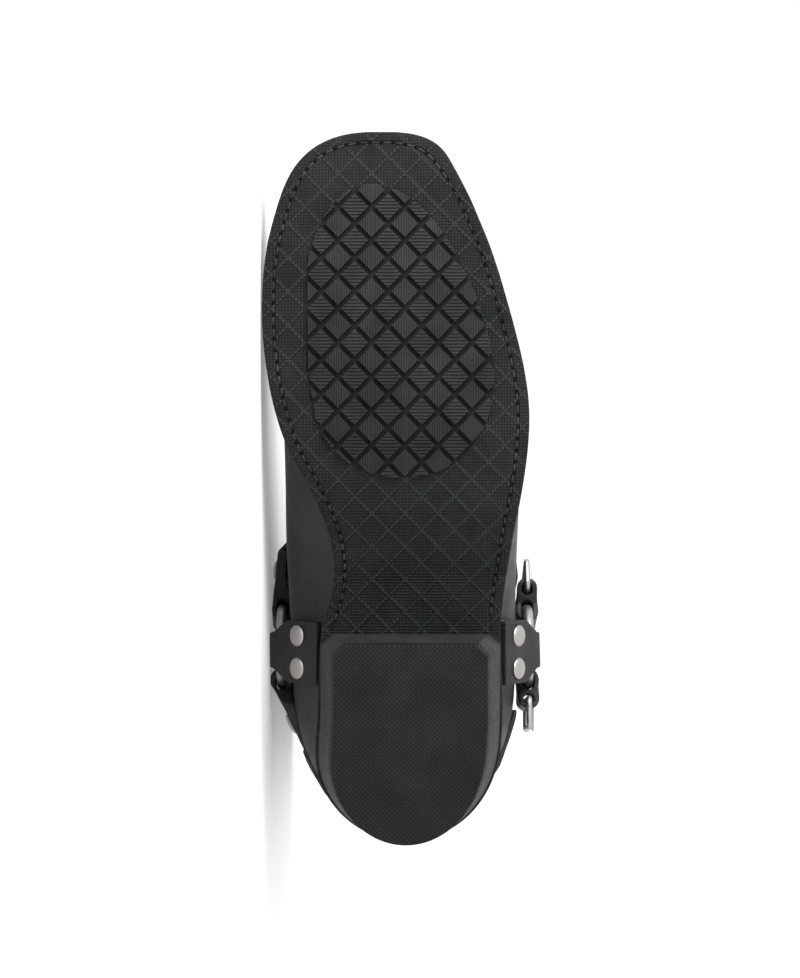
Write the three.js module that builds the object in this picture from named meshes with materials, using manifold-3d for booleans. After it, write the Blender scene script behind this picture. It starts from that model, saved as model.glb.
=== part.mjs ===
// Pull-on harness boot for the left foot, lying on its medial side.
// Lengths are millimetres. The boot's own frame has +X medial, +Y to the toe and +Z up the shaft,
// with the ground under heel and tread at z = 0 and the back of the sole at y = 0.

import * as THREE from "three";
import { mergeVertices } from "three/addons/utils/BufferGeometryUtils.js";
import Module from "manifold-3d";

const wasm = await Module();
wasm.setup();

// Driving dimensions

const SOLE_LENGTH = 306;
const BALL_WIDTH = 112.7;
const BOOT_HEIGHT = 310;
const HEEL_HEIGHT = 40;
const GAP = 0.3;

const OUTSOLE_THICK = 5;
const LUG_DEPTH = 2;
const TOE_SPRING = 9.5;
const WELT_THICK = 3.8;
const WELT_TRIM = 0.6;
const WELT_SHOW = 6.5;
const SEAT_SHOW = 2.6;
const HEEL_ROUND = 42;
const TOE_ROUND = 70;

const LEATHER_WALL = 2.4;
const INSOLE_THICK = 4;
const INSOLE_PLAY = 0.6;

const LIFT_THICK = 8;
const HEEL_TAPER = 7.1;
const HEEL_BACK_TAPER = 3.2;
const HEEL_TRIM = 1;
const BREAST_Y = 91;
const BREAST_LEAN = 2.5;
const CORNER_CUT = 5;

const LUG_WIDE = 13.7;
const LUG_LONG = 14.15;
const LUG_GROOVE = 2.2;
const INSERT_Y = 205;
const INSERT_X = 1.1;
const INSERT_WIDTH = 78.6;
const INSERT_TOE_REACH = 78;
const INSERT_HEEL_REACH = 46;
const INSERT_SKEW = 0.16;

const STRAP_WIDTH = 28;
const STRAP_THICK = 2.4;
const FOLD_WIDTH = 16;
const FOLD_PLAY = 0.35;
const TAPER_RUN = 8;
const RING_ACROSS = 39;
const RING_WIRE = 4.5;
const RING_X_MEDIAL = 0.4925 * BALL_WIDTH;
const RING_X_LATERAL = 0.5013 * BALL_WIDTH;
const RING_Y = 81.5;
const RING_Z = 91;
const INSTEP_ANGLE = 26;
const HEEL_ANGLE = 188;

const RIVET_CAP = 9.5;
const RIVET_DOME = 1.5;
const RIVET_SHANK = 2.8;
const RIVET_PITCH = 14.5;

const BUCKLE_LENGTH = 15.6;
const BUCKLE_WIDTH = 34;
const BUCKLE_WIRE = 2.6;
const BUCKLE_REACH = 24;
const BAR_BORE = 2.4;
const PRONG_WIDTH = 3;
const PRONG_THICK = 1.5;
const PRONG_PLAY = 0.76;

// Sole outline before its ends are rounded: reach to each side, as shares of the ball width
const OUTLINE = [
  { along: 0.00, medial: 0.353, lateral: -0.365 },
  { along: 0.09, medial: 0.350, lateral: -0.368 },
  { along: 0.18, medial: 0.335, lateral: -0.383 },
  { along: 0.30, medial: 0.320, lateral: -0.374 },
  { along: 0.345, medial: 0.284, lateral: -0.383 },
  { along: 0.39, medial: 0.268, lateral: -0.397 },
  { along: 0.44, medial: 0.286, lateral: -0.416 },
  { along: 0.50, medial: 0.350, lateral: -0.444 },
  { along: 0.56, medial: 0.436, lateral: -0.464 },
  { along: 0.615, medial: 0.486, lateral: -0.468 },
  { along: 0.67, medial: 0.515, lateral: -0.449 },
  { along: 0.725, medial: 0.530, lateral: -0.414 },
  { along: 0.78, medial: 0.530, lateral: -0.373 },
  { along: 0.835, medial: 0.521, lateral: -0.332 },
  { along: 0.89, medial: 0.510, lateral: -0.297 },
  { along: 0.95, medial: 0.512, lateral: -0.288 },
  { along: 1.00, medial: 0.520, lateral: -0.346 },
];

// Underside of the sole slab: rise above its ground level, as shares of heel height or toe spring
const TREAD = [
  { along: 0.00, heel: 0.950, toe: 0 },
  { along: 0.30, heel: 0.890, toe: 0 },
  { along: 0.36, heel: 0.760, toe: 0 },
  { along: 0.42, heel: 0.500, toe: 0 },
  { along: 0.48, heel: 0.235, toe: 0 },
  { along: 0.54, heel: 0.070, toe: 0 },
  { along: 0.59, heel: 0.000, toe: 0 },
  { along: 0.72, heel: 0.000, toe: 0 },
  { along: 0.80, heel: 0.000, toe: 0.125 },
  { along: 0.88, heel: 0.000, toe: 0.400 },
  { along: 0.95, heel: 0.000, toe: 0.740 },
  { along: 1.00, heel: 0.000, toe: 1.000 },
];

// Sections of the upper, from toe tip to collar. Each is a plane from its top point to its far point.
// topAlong and far are shares of the sole length, topUp of the boot height, a negative far is a share
// of the boot height up the back, and medial, lateral and ridge are shares of the ball width.
const SECTION_COLUMNS = ["topAlong", "topUp", "far", "medial", "lateral", "ridge", "crest", "round"];
const SECTIONS = [
  [0.978, 0.100, 0.978, 0.480, -0.320, 0.080, 0.34, 2.20],
  [0.968, 0.136, 0.970, 0.480, -0.320, 0.080, 0.34, 2.20],
  [0.942, 0.161, 0.945, 0.480, -0.320, 0.080, 0.34, 2.30],
  [0.898, 0.177, 0.900, 0.478, -0.310, 0.080, 0.34, 2.30],
  [0.832, 0.190, 0.834, 0.488, -0.300, 0.085, 0.33, 2.30],
  [0.758, 0.207, 0.752, 0.500, -0.365, 0.070, 0.32, 2.20],
  [0.685, 0.234, 0.667, 0.490, -0.420, 0.045, 0.31, 2.15],
  [0.620, 0.272, 0.582, 0.466, -0.448, 0.020, 0.33, 2.10],
  [0.564, 0.321, 0.490, 0.460, -0.450, 0.000, 0.38, 2.10],
  [0.519, 0.379, 0.386, 0.462, -0.446, 0.000, 0.42, 2.10],
  [0.486, 0.437, 0.275, 0.455, -0.445, 0.000, 0.45, 2.10],
  [0.466, 0.495, 0.157, 0.445, -0.445, 0.000, 0.48, 2.10],
  [0.456, 0.548, 0.072, 0.438, -0.436, 0.000, 0.50, 2.10],
  [0.452, 0.595, 0.000, 0.434, -0.430, 0.000, 0.50, 2.10],
  [0.451, 0.645, -0.235, 0.434, -0.426, 0.010, 0.50, 2.10],
  [0.453, 0.703, -0.340, 0.440, -0.424, 0.020, 0.50, 2.10],
  [0.456, 0.768, -0.470, 0.455, -0.422, 0.030, 0.50, 2.10],
  [0.460, 0.845, -0.640, 0.482, -0.420, 0.045, 0.50, 2.10],
  [0.463, 0.924, -0.830, 0.514, -0.415, 0.060, 0.50, 2.10],
  [0.464, 1.000, -1.000, 0.537, -0.410, 0.070, 0.50, 2.10],
].map((row) => Object.fromEntries(row.map((value, i) => [SECTION_COLUMNS[i], value])));

// Back line of the upper: how far it stands in from the back of the sole, as shares of the sole length,
// and how deep its rounding reaches, as shares of the heel rounding
const BACK_LINE = [
  { up: 0.140, inward: 0.0085, round: 0.94 },
  { up: 0.190, inward: 0.0040, round: 1.20 },
  { up: 0.245, inward: 0.0055, round: 1.50 },
  { up: 0.310, inward: 0.0200, round: 1.52 },
  { up: 0.380, inward: 0.0310, round: 1.50 },
  { up: 0.460, inward: 0.0330, round: 1.50 },
  { up: 0.600, inward: 0.0220, round: 1.54 },
  { up: 0.760, inward: 0.0120, round: 1.60 },
  { up: 1.000, inward: 0.0065, round: 1.64 },
];

// The welt's show grows from the seat to the forefoot between these shares of the sole length
const WAIST_FROM = 0.40;
const WAIST_TO = 0.60;
const SEAT_LIP = 3;
const SEAT_RISE = 30;
const FORM_DROP = 9;
const TIP_ROWS = 2.5;
const ROWS_PER_SECTION = 2;
const LOOP_STEPS = 26;

// Tables read as smooth curves

function smoothColumn(rows, place, column) {
  const last = rows.length - 1;
  const index = Math.min(Math.max(Math.floor(place), 0), last - 1);
  const t = place - index;
  const at = (i) => rows[Math.min(Math.max(i, 0), last)][column];
  const [p0, p1, p2, p3] = [at(index - 1), at(index), at(index + 1), at(index + 2)];
  const bend = (2 * p0 - 5 * p1 + 4 * p2 - p3) * t * t;
  return 0.5 * (2 * p1 + (p2 - p0) * t + bend + (3 * p1 - p0 - 3 * p2 + p3) * t * t * t);
}

function readTable(rows, key, value, column) {
  const last = rows.length - 1;
  const clamped = Math.min(Math.max(value, rows[0][key]), rows[last][key]);
  let index = 0;
  while (index < last - 1 && rows[index + 1][key] < clamped) index += 1;
  const span = rows[index + 1][key] - rows[index][key];
  const t = (clamped - rows[index][key]) / span;
  const slope = (i) => {
    const before = rows[Math.max(i - 1, 0)];
    const after = rows[Math.min(i + 1, last)];
    return (after[column] - before[column]) / (after[key] - before[key]);
  };
  const [v0, v1] = [rows[index][column], rows[index + 1][column]];
  const [m0, m1] = [slope(index) * span, slope(index + 1) * span];
  const t2 = t * t;
  const t3 = t2 * t;
  const values = v0 * (2 * t3 - 3 * t2 + 1) + v1 * (3 * t2 - 2 * t3);
  return values + m0 * (t3 - 2 * t2 + t) + m1 * (t3 - t2);
}

function roundEnd(distance, reach, power) {
  if (distance >= reach) return 1;
  return Math.pow(1 - Math.pow(1 - Math.max(distance, 0) / reach, power), 1 / power);
}

function easeBetween(low, high, value) {
  return THREE.MathUtils.smoothstep(value, low, high);
}

// Sole profile and outline

const HEEL_POWER = 2;
const TOE_POWER = 2.6;
const END_FLAT = 0.2;
const SLAB_STATIONS = 44;
const SEAT_TRIM = 0.8;

function slabBottom(y) {
  const along = y / SOLE_LENGTH;
  const heelShare = Math.max(readTable(TREAD, "along", along, "heel"), 0);
  const toeShare = Math.max(readTable(TREAD, "along", along, "toe"), 0);
  return LUG_DEPTH + heelShare * HEEL_HEIGHT + toeShare * TOE_SPRING;
}

function slabTop(y) {
  return slabBottom(y) + OUTSOLE_THICK;
}

function seatHeight(y) {
  return slabTop(y) + GAP;
}

function outlineAt(y, inset) {
  const along = y / SOLE_LENGTH;
  const medial = readTable(OUTLINE, "along", along, "medial") * BALL_WIDTH;
  const lateral = readTable(OUTLINE, "along", along, "lateral") * BALL_WIDTH;
  const heel = roundEnd(y - inset, HEEL_ROUND - inset, HEEL_POWER);
  const toe = roundEnd(SOLE_LENGTH - inset - y, TOE_ROUND - inset, TOE_POWER);
  const centre = (medial + lateral) / 2;
  return { centre, half: (medial - lateral) / 2 - inset, heel, toe };
}

function edgesAt(y, inset) {
  const { centre, half, heel, toe } = outlineAt(y, inset);
  return { medial: centre + half * heel * toe, lateral: centre - half * heel * toe };
}

// Closed meshes

function meshFrom(points, triangles) {
  const geometry = new THREE.BufferGeometry();
  const places = points.flatMap((p) => [p.x, p.y, p.z]);
  geometry.setAttribute("position", new THREE.Float32BufferAttribute(places, 3));
  geometry.setIndex(triangles);
  const merged = mergeVertices(geometry, 1e-4);
  const index = merged.getIndex().array;
  const kept = [];
  for (let i = 0; i < index.length; i += 3) {
    const [a, b, c] = [index[i], index[i + 1], index[i + 2]];
    if (a !== b && b !== c && c !== a) kept.push(a, b, c);
  }
  merged.setIndex(kept);
  return merged;
}

function toSolid(geometry) {
  const bare = geometry.clone();
  bare.deleteAttribute("normal");
  bare.deleteAttribute("uv");
  const merged = mergeVertices(bare, 1e-4);
  return new wasm.Manifold(new wasm.Mesh({
    numProp: 3,
    vertProperties: new Float32Array(merged.getAttribute("position").array),
    triVerts: new Uint32Array(merged.getIndex().array),
  }));
}

function solidFacingOut(points, triangles) {
  const solid = toSolid(meshFrom(points, triangles));
  if (solid.volume() > 0) return solid;
  const turned = [];
  for (let i = 0; i < triangles.length; i += 3) {
    turned.push(triangles[i], triangles[i + 2], triangles[i + 1]);
  }
  return toSolid(meshFrom(points, turned));
}

function toGeometry(solid) {
  const mesh = solid.getMesh();
  const geometry = new THREE.BufferGeometry();
  geometry.setAttribute("position", new THREE.BufferAttribute(new Float32Array(mesh.vertProperties), 3));
  geometry.setIndex(new THREE.BufferAttribute(new Uint32Array(mesh.triVerts), 1));
  geometry.computeVertexNormals();
  return geometry;
}

// A body skinned over closed rings of equal count, with a fan over each end
function loft(rings) {
  const points = rings.flat();
  const count = rings[0].length;
  const triangles = [];
  for (let r = 0; r < rings.length - 1; r += 1) {
    for (let i = 0; i < count; i += 1) {
      const a = r * count + i;
      const b = r * count + ((i + 1) % count);
      triangles.push(a, b, b + count, a, b + count, a + count);
    }
  }
  const capEnd = (ring, first, flip) => {
    const middle = ring.reduce((sum, p) => sum.add(p), new THREE.Vector3()).divideScalar(count);
    points.push(middle);
    const centre = points.length - 1;
    for (let i = 0; i < count; i += 1) {
      const a = first + i;
      const b = first + ((i + 1) % count);
      if (flip) triangles.push(centre, b, a);
      else triangles.push(centre, a, b);
    }
  };
  capEnd(rings[0], 0, true);
  capEnd(rings[rings.length - 1], (rings.length - 1) * count, false);
  return solidFacingOut(points, triangles);
}

// A slab that follows the sole outline, between two heights that vary along the boot
function soleSlab(inset, bottom, top, stations) {
  const first = inset(0) + END_FLAT;
  const last = SOLE_LENGTH - inset(SOLE_LENGTH) - END_FLAT;
  const rings = [];
  for (let i = 0; i <= stations; i += 1) {
    const y = THREE.MathUtils.lerp(first, last, (1 - Math.cos((Math.PI * i) / stations)) / 2);
    const { medial, lateral } = edgesAt(y, inset(y));
    rings.push([
      new THREE.Vector3(medial, y, bottom(y)),
      new THREE.Vector3(medial, y, top(y)),
      new THREE.Vector3(lateral, y, top(y)),
      new THREE.Vector3(lateral, y, bottom(y)),
    ]);
  }
  return loft(rings);
}

// Upper surface

function upperInset(y) {
  const show = easeBetween(WAIST_FROM * SOLE_LENGTH, WAIST_TO * SOLE_LENGTH, y);
  return THREE.MathUtils.lerp(SEAT_SHOW, WELT_SHOW, show);
}

function backLine(z) {
  return readTable(BACK_LINE, "up", z / BOOT_HEIGHT, "inward") * SOLE_LENGTH;
}

const SEAT_BACK_Z = seatHeight(SEAT_SHOW);
const SEAT_BACK_Y = backLine(SEAT_BACK_Z);

// The far point runs along the seat from the toe, turns at the back of the heel and climbs the back
function farPath(share) {
  if (share > 0) {
    const y = Math.max(share * SOLE_LENGTH, SEAT_BACK_Y);
    return { y, z: seatHeight(y) };
  }
  const z = Math.max(-share * BOOT_HEIGHT, SEAT_BACK_Z);
  return { y: backLine(z), z };
}

const CORNER_ROW = SECTIONS.findIndex((row) => row.far <= 0);

function sectionAt(place) {
  const row = {};
  for (const column of SECTION_COLUMNS) row[column] = smoothColumn(SECTIONS, place, column);
  const top = { y: row.topAlong * SOLE_LENGTH, z: row.topUp * BOOT_HEIGHT };
  return { ...row, top, farPoint: farAt(place) };
}

function farAt(place) {
  if (place <= CORNER_ROW) {
    const rows = SECTIONS.slice(0, CORNER_ROW + 1).map((row) => ({ far: Math.max(row.far, 0) }));
    const share = smoothColumn(rows, place, "far");
    return farPath(Math.max(share, SEAT_BACK_Y / SOLE_LENGTH));
  }
  const lowest = -SEAT_BACK_Z / BOOT_HEIGHT;
  const rows = SECTIONS.slice(CORNER_ROW).map((row) => ({ far: Math.min(row.far, lowest) }));
  return farPath(smoothColumn(rows, place - CORNER_ROW, "far"));
}

// A point of the outer surface. Around runs from -1 at the lateral far end over 0 at the top to 1 at
// the medial far end.
function upperPoint(place, around) {
  const section = sectionAt(place);
  const side = Math.sign(around);
  const down = Math.abs(around);
  const closed = easeBetween(CORNER_ROW - 2, CORNER_ROW, place);
  const openShare = Math.cos((down * Math.PI) / 2);
  const closedShare = (1 + Math.cos(down * Math.PI)) / 2;
  const share = THREE.MathUtils.lerp(openShare, closedShare, closed);
  const y = THREE.MathUtils.lerp(section.farPoint.y, section.top.y, share);
  const z = THREE.MathUtils.lerp(section.farPoint.z, section.top.z, share);
  const seatY = Math.max(y, SEAT_BACK_Y);
  const inset = upperInset(seatY);
  const sole = outlineAt(seatY, inset);
  const rise = easeBetween(SEAT_LIP, SEAT_RISE, z - seatHeight(seatY));
  const bulk = (side < 0 ? section.lateral : section.medial) * BALL_WIDTH;
  const seat = sole.centre + (side < 0 ? -sole.half : sole.half);
  const reach = THREE.MathUtils.lerp(seat, bulk, rise);
  const ridge = section.ridge * BALL_WIDTH;
  const spine = THREE.MathUtils.lerp(sole.centre, ridge, easeBetween(0, 1, Math.max(share, rise)));
  const overTop = share > section.crest ? (share - section.crest) / (1 - section.crest) : 0;
  const topRound = Math.pow(1 - Math.pow(Math.min(overTop, 1), section.round), 1 / section.round);
  const backRound = readTable(BACK_LINE, "up", z / BOOT_HEIGHT, "round") * HEEL_ROUND;
  const heel = roundEnd(y - backLine(z), backRound, HEEL_POWER);
  return new THREE.Vector3(spine + (reach - spine) * topRound * heel * sole.toe, y, z);
}

function upperNormal(place, around) {
  const step = FINE_STEP / 10;
  const last = SECTIONS.length - 1;
  const a0 = Math.max(place - step, 0);
  const a1 = Math.min(place + step, last);
  const b0 = Math.max(around - step, -1);
  const b1 = Math.min(around + step, 1);
  const alongBoot = upperPoint(a1, around).sub(upperPoint(a0, around));
  const acrossBoot = upperPoint(place, b1).sub(upperPoint(place, b0));
  return alongBoot.cross(acrossBoot).normalize();
}

const FINE_STEP = 0.01;

function placeBehindTip(depth) {
  const tip = sectionAt(0).top.y;
  let place = 0;
  while (tip - sectionAt(place).top.y < depth) place += FINE_STEP;
  return place;
}

// Rows and loops of the surface, moved out along its normals
function upperGrid(offset, firstPlace) {
  const last = SECTIONS.length - 1;
  const rows = [];
  const total = last * ROWS_PER_SECTION;
  for (let k = 0; k <= total; k += 1) {
    const even = k / ROWS_PER_SECTION;
    const place = Math.max(even, firstPlace + (even * (TIP_ROWS - firstPlace)) / TIP_ROWS);
    const row = [];
    for (let j = 0; j <= LOOP_STEPS; j += 1) {
      const around = (2 * j) / LOOP_STEPS - 1;
      const point = upperPoint(place, around);
      const normal = upperNormal(place, around);
      if (place <= CORNER_ROW && Math.abs(around) === 1) normal.setZ(0).normalize();
      row.push(point.addScaledVector(normal, offset));
    }
    if (place >= CORNER_ROW) row[LOOP_STEPS].copy(row[0].lerp(row[LOOP_STEPS], 0.5));
    rows.push(row);
  }
  return rows;
}

const CORNER_K = CORNER_ROW * ROWS_PER_SECTION;

function gridQuads(rows, columns, flip, first, triangles) {
  for (let k = 0; k < rows - 1; k += 1) {
    for (let j = 0; j < columns - 1; j += 1) {
      const a = first + k * columns + j;
      const [b, c, d] = [a + 1, a + columns + 1, a + columns];
      if (flip) triangles.push(a, c, b, a, d, c);
      else triangles.push(a, b, c, a, c, d);
    }
  }
}

function quad(triangles, a, b, c, d) {
  triangles.push(a, b, c, a, c, d);
}

// Hollow upper: outer sheet, inner sheet, toe caps and the rims at sole and collar
function hollowUpper(wall) {
  const outer = upperGrid(0, 0);
  const inner = upperGrid(-wall, placeBehindTip(wall));
  const columns = LOOP_STEPS + 1;
  const count = outer.length;
  const points = [...outer.flat(), ...inner.flat()];
  const shift = count * columns;
  const triangles = [];
  gridQuads(count, columns, false, 0, triangles);
  gridQuads(count, columns, true, shift, triangles);
  const at = (k, j) => k * columns + j;
  for (let k = 0; k < CORNER_K; k += 1) {
    quad(triangles, at(k, 0), at(k + 1, 0), at(k + 1, 0) + shift, at(k, 0) + shift);
    const end = LOOP_STEPS;
    quad(triangles, at(k + 1, end), at(k, end), at(k, end) + shift, at(k + 1, end) + shift);
  }
  const collar = count - 1;
  for (let j = 0; j < LOOP_STEPS; j += 1) {
    quad(triangles, at(collar, j), at(collar, j + 1), at(collar, j + 1) + shift, at(collar, j) + shift);
  }
  for (let j = 1; j < LOOP_STEPS; j += 1) {
    triangles.push(at(0, 0), at(0, j + 1), at(0, j));
    triangles.push(at(0, 0) + shift, at(0, j) + shift, at(0, j + 1) + shift);
  }
  quad(triangles, at(0, 0), at(0, 0) + shift, at(0, LOOP_STEPS) + shift, at(0, LOOP_STEPS));
  const underneath = soleSlab(() => 0, slabBottom, (y) => slabTop(y) + SEAT_TRIM * GAP, SLAB_STATIONS);
  return solidFacingOut(points, triangles).subtract(underneath);
}

// The upper's outer form moved out by an offset, closed at the collar and carried on below the seat
function upperForm(offset) {
  const grid = upperGrid(offset, placeBehindTip(Math.max(-offset, 0)));
  const columns = LOOP_STEPS + 1;
  for (const tip of grid[0]) tip.y += Math.max(offset, 0);
  const points = grid.flat();
  const triangles = [];
  gridQuads(grid.length, columns, false, 0, triangles);
  const below = (p) => new THREE.Vector3(p.x, p.y, p.z - FORM_DROP);
  const skirt = points.length;
  for (let k = 0; k <= CORNER_K; k += 1) points.push(below(grid[k][0]), below(grid[k][LOOP_STEPS]));
  const at = (k, j) => k * columns + j;
  for (let k = 0; k < CORNER_K; k += 1) {
    const [lateral, medial] = [skirt + 2 * k, skirt + 2 * k + 1];
    quad(triangles, at(k, 0), at(k + 1, 0), lateral + 2, lateral);
    quad(triangles, at(k + 1, LOOP_STEPS), at(k, LOOP_STEPS), medial, medial + 2);
    quad(triangles, lateral, lateral + 2, medial + 2, medial);
  }
  for (let j = 1; j < LOOP_STEPS; j += 1) triangles.push(at(0, 0), at(0, j + 1), at(0, j));
  quad(triangles, at(0, 0), skirt, skirt + 1, at(0, LOOP_STEPS));
  const collar = grid.length - 1;
  for (let j = 1; j < LOOP_STEPS - 1; j += 1) {
    triangles.push(at(collar, 0), at(collar, j), at(collar, j + 1));
  }
  return solidFacingOut(points, triangles);
}

// Outsole: slab with the diamond lugs of the forefoot insert

const INSERT_TOE_POWER = 2;
const INSERT_HEEL_POWER = 2.3;
const INSERT_STEPS = 22;

function insertHalfWidth(y) {
  const away = y - INSERT_Y;
  const share = away > 0 ? away / INSERT_TOE_REACH : -away / INSERT_HEEL_REACH;
  const power = away > 0 ? INSERT_TOE_POWER : INSERT_HEEL_POWER;
  return (INSERT_WIDTH / 2) * Math.pow(Math.max(1 - Math.pow(share, power), 0), 1 / power);
}

function insertPrism() {
  const outline = [];
  for (let side = 1; side >= -1; side -= 2) {
    for (let i = 0; i < INSERT_STEPS; i += 1) {
      const turn = (Math.PI * i) / INSERT_STEPS;
      const swing = side * Math.cos(turn);
      const y = INSERT_Y + (swing > 0 ? INSERT_TOE_REACH : INSERT_HEEL_REACH) * swing;
      const centre = INSERT_X + Math.max(y - INSERT_Y, 0) * INSERT_SKEW;
      outline.push(new THREE.Vector2(centre - side * insertHalfWidth(y), y));
    }
  }
  const depth = LUG_DEPTH + TOE_SPRING + OUTSOLE_THICK;
  return toSolid(new THREE.ExtrudeGeometry(new THREE.Shape(outline), { depth, bevelEnabled: false }));
}

function lug(x, y) {
  const cell = (LUG_WIDE * LUG_LONG) / Math.hypot(LUG_WIDE, LUG_LONG);
  const share = (cell - LUG_GROOVE) / cell;
  const [wide, long] = [LUG_WIDE / 2, LUG_LONG / 2];
  const corners = [[wide, 0], [0, long], [-wide, 0], [0, -long]];
  const ring = (rise) => corners.map(([dx, dy]) => {
    const place = y + dy * share;
    return new THREE.Vector3(x + dx * share, place, slabBottom(place) + rise);
  });
  return loft([ring(-LUG_DEPTH), ring(OUTSOLE_THICK / 2)]);
}

function outsole() {
  const slab = soleSlab(() => 0, slabBottom, slabTop, SLAB_STATIONS);
  const lugs = [];
  const rows = Math.ceil((INSERT_TOE_REACH + INSERT_HEEL_REACH) / LUG_LONG);
  for (let row = -rows; row <= rows; row += 1) {
    const y = INSERT_Y + (row * LUG_LONG) / 2;
    for (let column = -rows; column <= rows; column += 1) {
      const x = INSERT_X + (column + (row % 2) / 2) * LUG_WIDE;
      const centre = INSERT_X + Math.max(y - INSERT_Y, 0) * INSERT_SKEW;
      const near = Math.abs(x - centre) < insertHalfWidth(y) + LUG_WIDE / 4;
      const within = y < INSERT_Y + INSERT_TOE_REACH && y > INSERT_Y - INSERT_HEEL_REACH;
      if (near && within) lugs.push(lug(x, y));
    }
  }
  const pattern = wasm.Manifold.union(lugs).intersect(insertPrism());
  return slab.add(pattern);
}

// Heel: a stack that tapers to the lift, with its front corners cut off

const HEEL_STEPS = 12;

function heelRing(z) {
  const drop = (HEEL_HEIGHT - z) / HEEL_HEIGHT;
  const back = HEEL_TRIM + HEEL_BACK_TAPER * drop;
  const front = BREAST_Y - BREAST_LEAN * drop;
  const seat = outlineAt(BREAST_Y / 2, 0);
  const half = seat.half - HEEL_TRIM - HEEL_TAPER * drop;
  const ring = [];
  const place = (side, y) => {
    const width = half * roundEnd(y - back, HEEL_ROUND - back, HEEL_POWER);
    return new THREE.Vector3(outlineAt(y, 0).centre + side * width, y, z);
  };
  for (const side of [1, -1]) {
    for (let i = 0; i <= HEEL_STEPS; i += 1) {
      const share = side > 0 ? 1 - i / HEEL_STEPS : i / HEEL_STEPS;
      if (side < 0 && i === 0) continue;
      const run = 1 - Math.cos((share * Math.PI) / 2);
      ring.push(place(side, back + (HEEL_ROUND - back) * run));
    }
    const corner = [place(side, front - CORNER_CUT), place(side, front)];
    corner[1].x -= side * CORNER_CUT;
    if (side > 0) ring.unshift(corner[1], corner[0]);
    else ring.push(corner[0], corner[1]);
  }
  return ring;
}

function heelStack() {
  const top = HEEL_HEIGHT + OUTSOLE_THICK;
  const block = loft([heelRing(LIFT_THICK + GAP), heelRing(HEEL_HEIGHT / 2), heelRing(top)]);
  return block.subtract(soleSlab(() => -WELT_SHOW, (y) => slabBottom(y) - GAP, () => 2 * top, SLAB_STATIONS));
}

function heelLift() {
  return loft([heelRing(0), heelRing(LIFT_THICK)]);
}

function welt(footForm) {
  const bottom = (y) => slabTop(y) + GAP / 2;
  const top = (y) => slabTop(y) + GAP + WELT_THICK;
  return soleSlab(() => WELT_TRIM, bottom, top, SLAB_STATIONS).subtract(footForm);
}

function insole() {
  const bottom = (y) => slabTop(y) + GAP;
  const board = soleSlab(() => SEAT_SHOW, bottom, (y) => bottom(y) + INSOLE_THICK, SLAB_STATIONS);
  return board.intersect(upperForm(-LEATHER_WALL - INSOLE_PLAY));
}

// Harness. A strap end folds round the ring's wire. In its frame the first length runs out from the
// ring's centre, the second away from the leg and the third across the strap.

const WIRE_RADIUS = RING_WIRE / 2;
const RING_RADIUS = (RING_ACROSS - RING_WIRE) / 2;
const RING_INNER = RING_RADIUS - WIRE_RADIUS;
const RING_SAG = RING_INNER - Math.sqrt(RING_INNER ** 2 - (FOLD_WIDTH / 2) ** 2);
const FOLD_NEAR = RING_RADIUS - RING_SAG;
const FOLD_BORE = WIRE_RADIUS + FOLD_PLAY;
const FOLD_OUTER = FOLD_BORE + STRAP_THICK;
const CLEARANCE = 1;
const DEEP = 2 * STRAP_THICK + RIVET_DOME;
const SLOT_STEPS = 6;
const FOLD_STEPS = 5;

// Middle line of each double strap end, as shares of the ring: where its layers meet, where the double
// part ends and, for a strap that carries on round the leg, where it lands on the leather
const STRAP_ENDS = {
  sideMedial: { side: 1, angle: -90, meet: [0.641, -0.128], end: [1.038, -0.474], land: 0, rivet: 0.36 },
  sideLateral: { side: -1, angle: -90, meet: [0.667, -0.103], end: [1.038, -0.346], land: 0, rivet: 0.36 },
  instep: { side: 1, angle: INSTEP_ANGLE, meet: [0.744, 0.02], end: [1.077, 0.005], land: 1.54, rivet: 0.46 },
  heel: { side: 1, angle: HEEL_ANGLE, meet: [0.718, -0.103], end: [1.051, -0.267], land: 1.28, rivet: 0.46 },
};
for (const spec of Object.values(STRAP_ENDS)) {
  spec.meet = spec.meet.map((share) => share * RING_ACROSS);
  spec.end = spec.end.map((share) => share * RING_ACROSS);
  spec.land *= RING_ACROSS;
}

function radians(degrees) {
  return THREE.MathUtils.degToRad(degrees);
}

function ringFrame(side, degrees) {
  const turn = radians(degrees);
  const out = new THREE.Vector3(0, Math.cos(turn), Math.sin(turn));
  const away = new THREE.Vector3(side, 0, 0);
  const across = new THREE.Vector3().crossVectors(out, away);
  const x = side > 0 ? RING_X_MEDIAL : -RING_X_LATERAL;
  return new THREE.Matrix4().makeBasis(out, away, across).setPosition(x, RING_Y, RING_Z);
}

function arc(x, y, radius, fromDegrees, toDegrees, steps) {
  const points = [];
  for (let i = 0; i <= steps; i += 1) {
    const turn = radians(fromDegrees + ((toDegrees - fromDegrees) * i) / steps);
    points.push([x + radius * Math.cos(turn), y + radius * Math.sin(turn)]);
  }
  return points;
}

function extrudeAcross(outline, holes, width, frame) {
  const asVector = ([x, y]) => new THREE.Vector2(x, y);
  const shape = new THREE.Shape(outline.map(asVector));
  for (const hole of holes) shape.holes.push(new THREE.Path(hole.map(asVector)));
  const geometry = new THREE.ExtrudeGeometry(shape, { depth: width, bevelEnabled: false });
  geometry.translate(0, 0, -width / 2);
  return toSolid(geometry.applyMatrix4(frame));
}

function boxIn(frame, low, high) {
  const size = high.map((value, i) => value - low[i]);
  const geometry = new THREE.BoxGeometry(...size);
  geometry.translate(...high.map((value, i) => (value + low[i]) / 2));
  return toSolid(geometry.applyMatrix4(frame));
}

function wireSlot() {
  return [
    ...arc(FOLD_NEAR, 0, FOLD_BORE, 90, 270, SLOT_STEPS),
    ...arc(RING_RADIUS, 0, FOLD_BORE, -90, 90, SLOT_STEPS),
  ];
}

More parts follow.
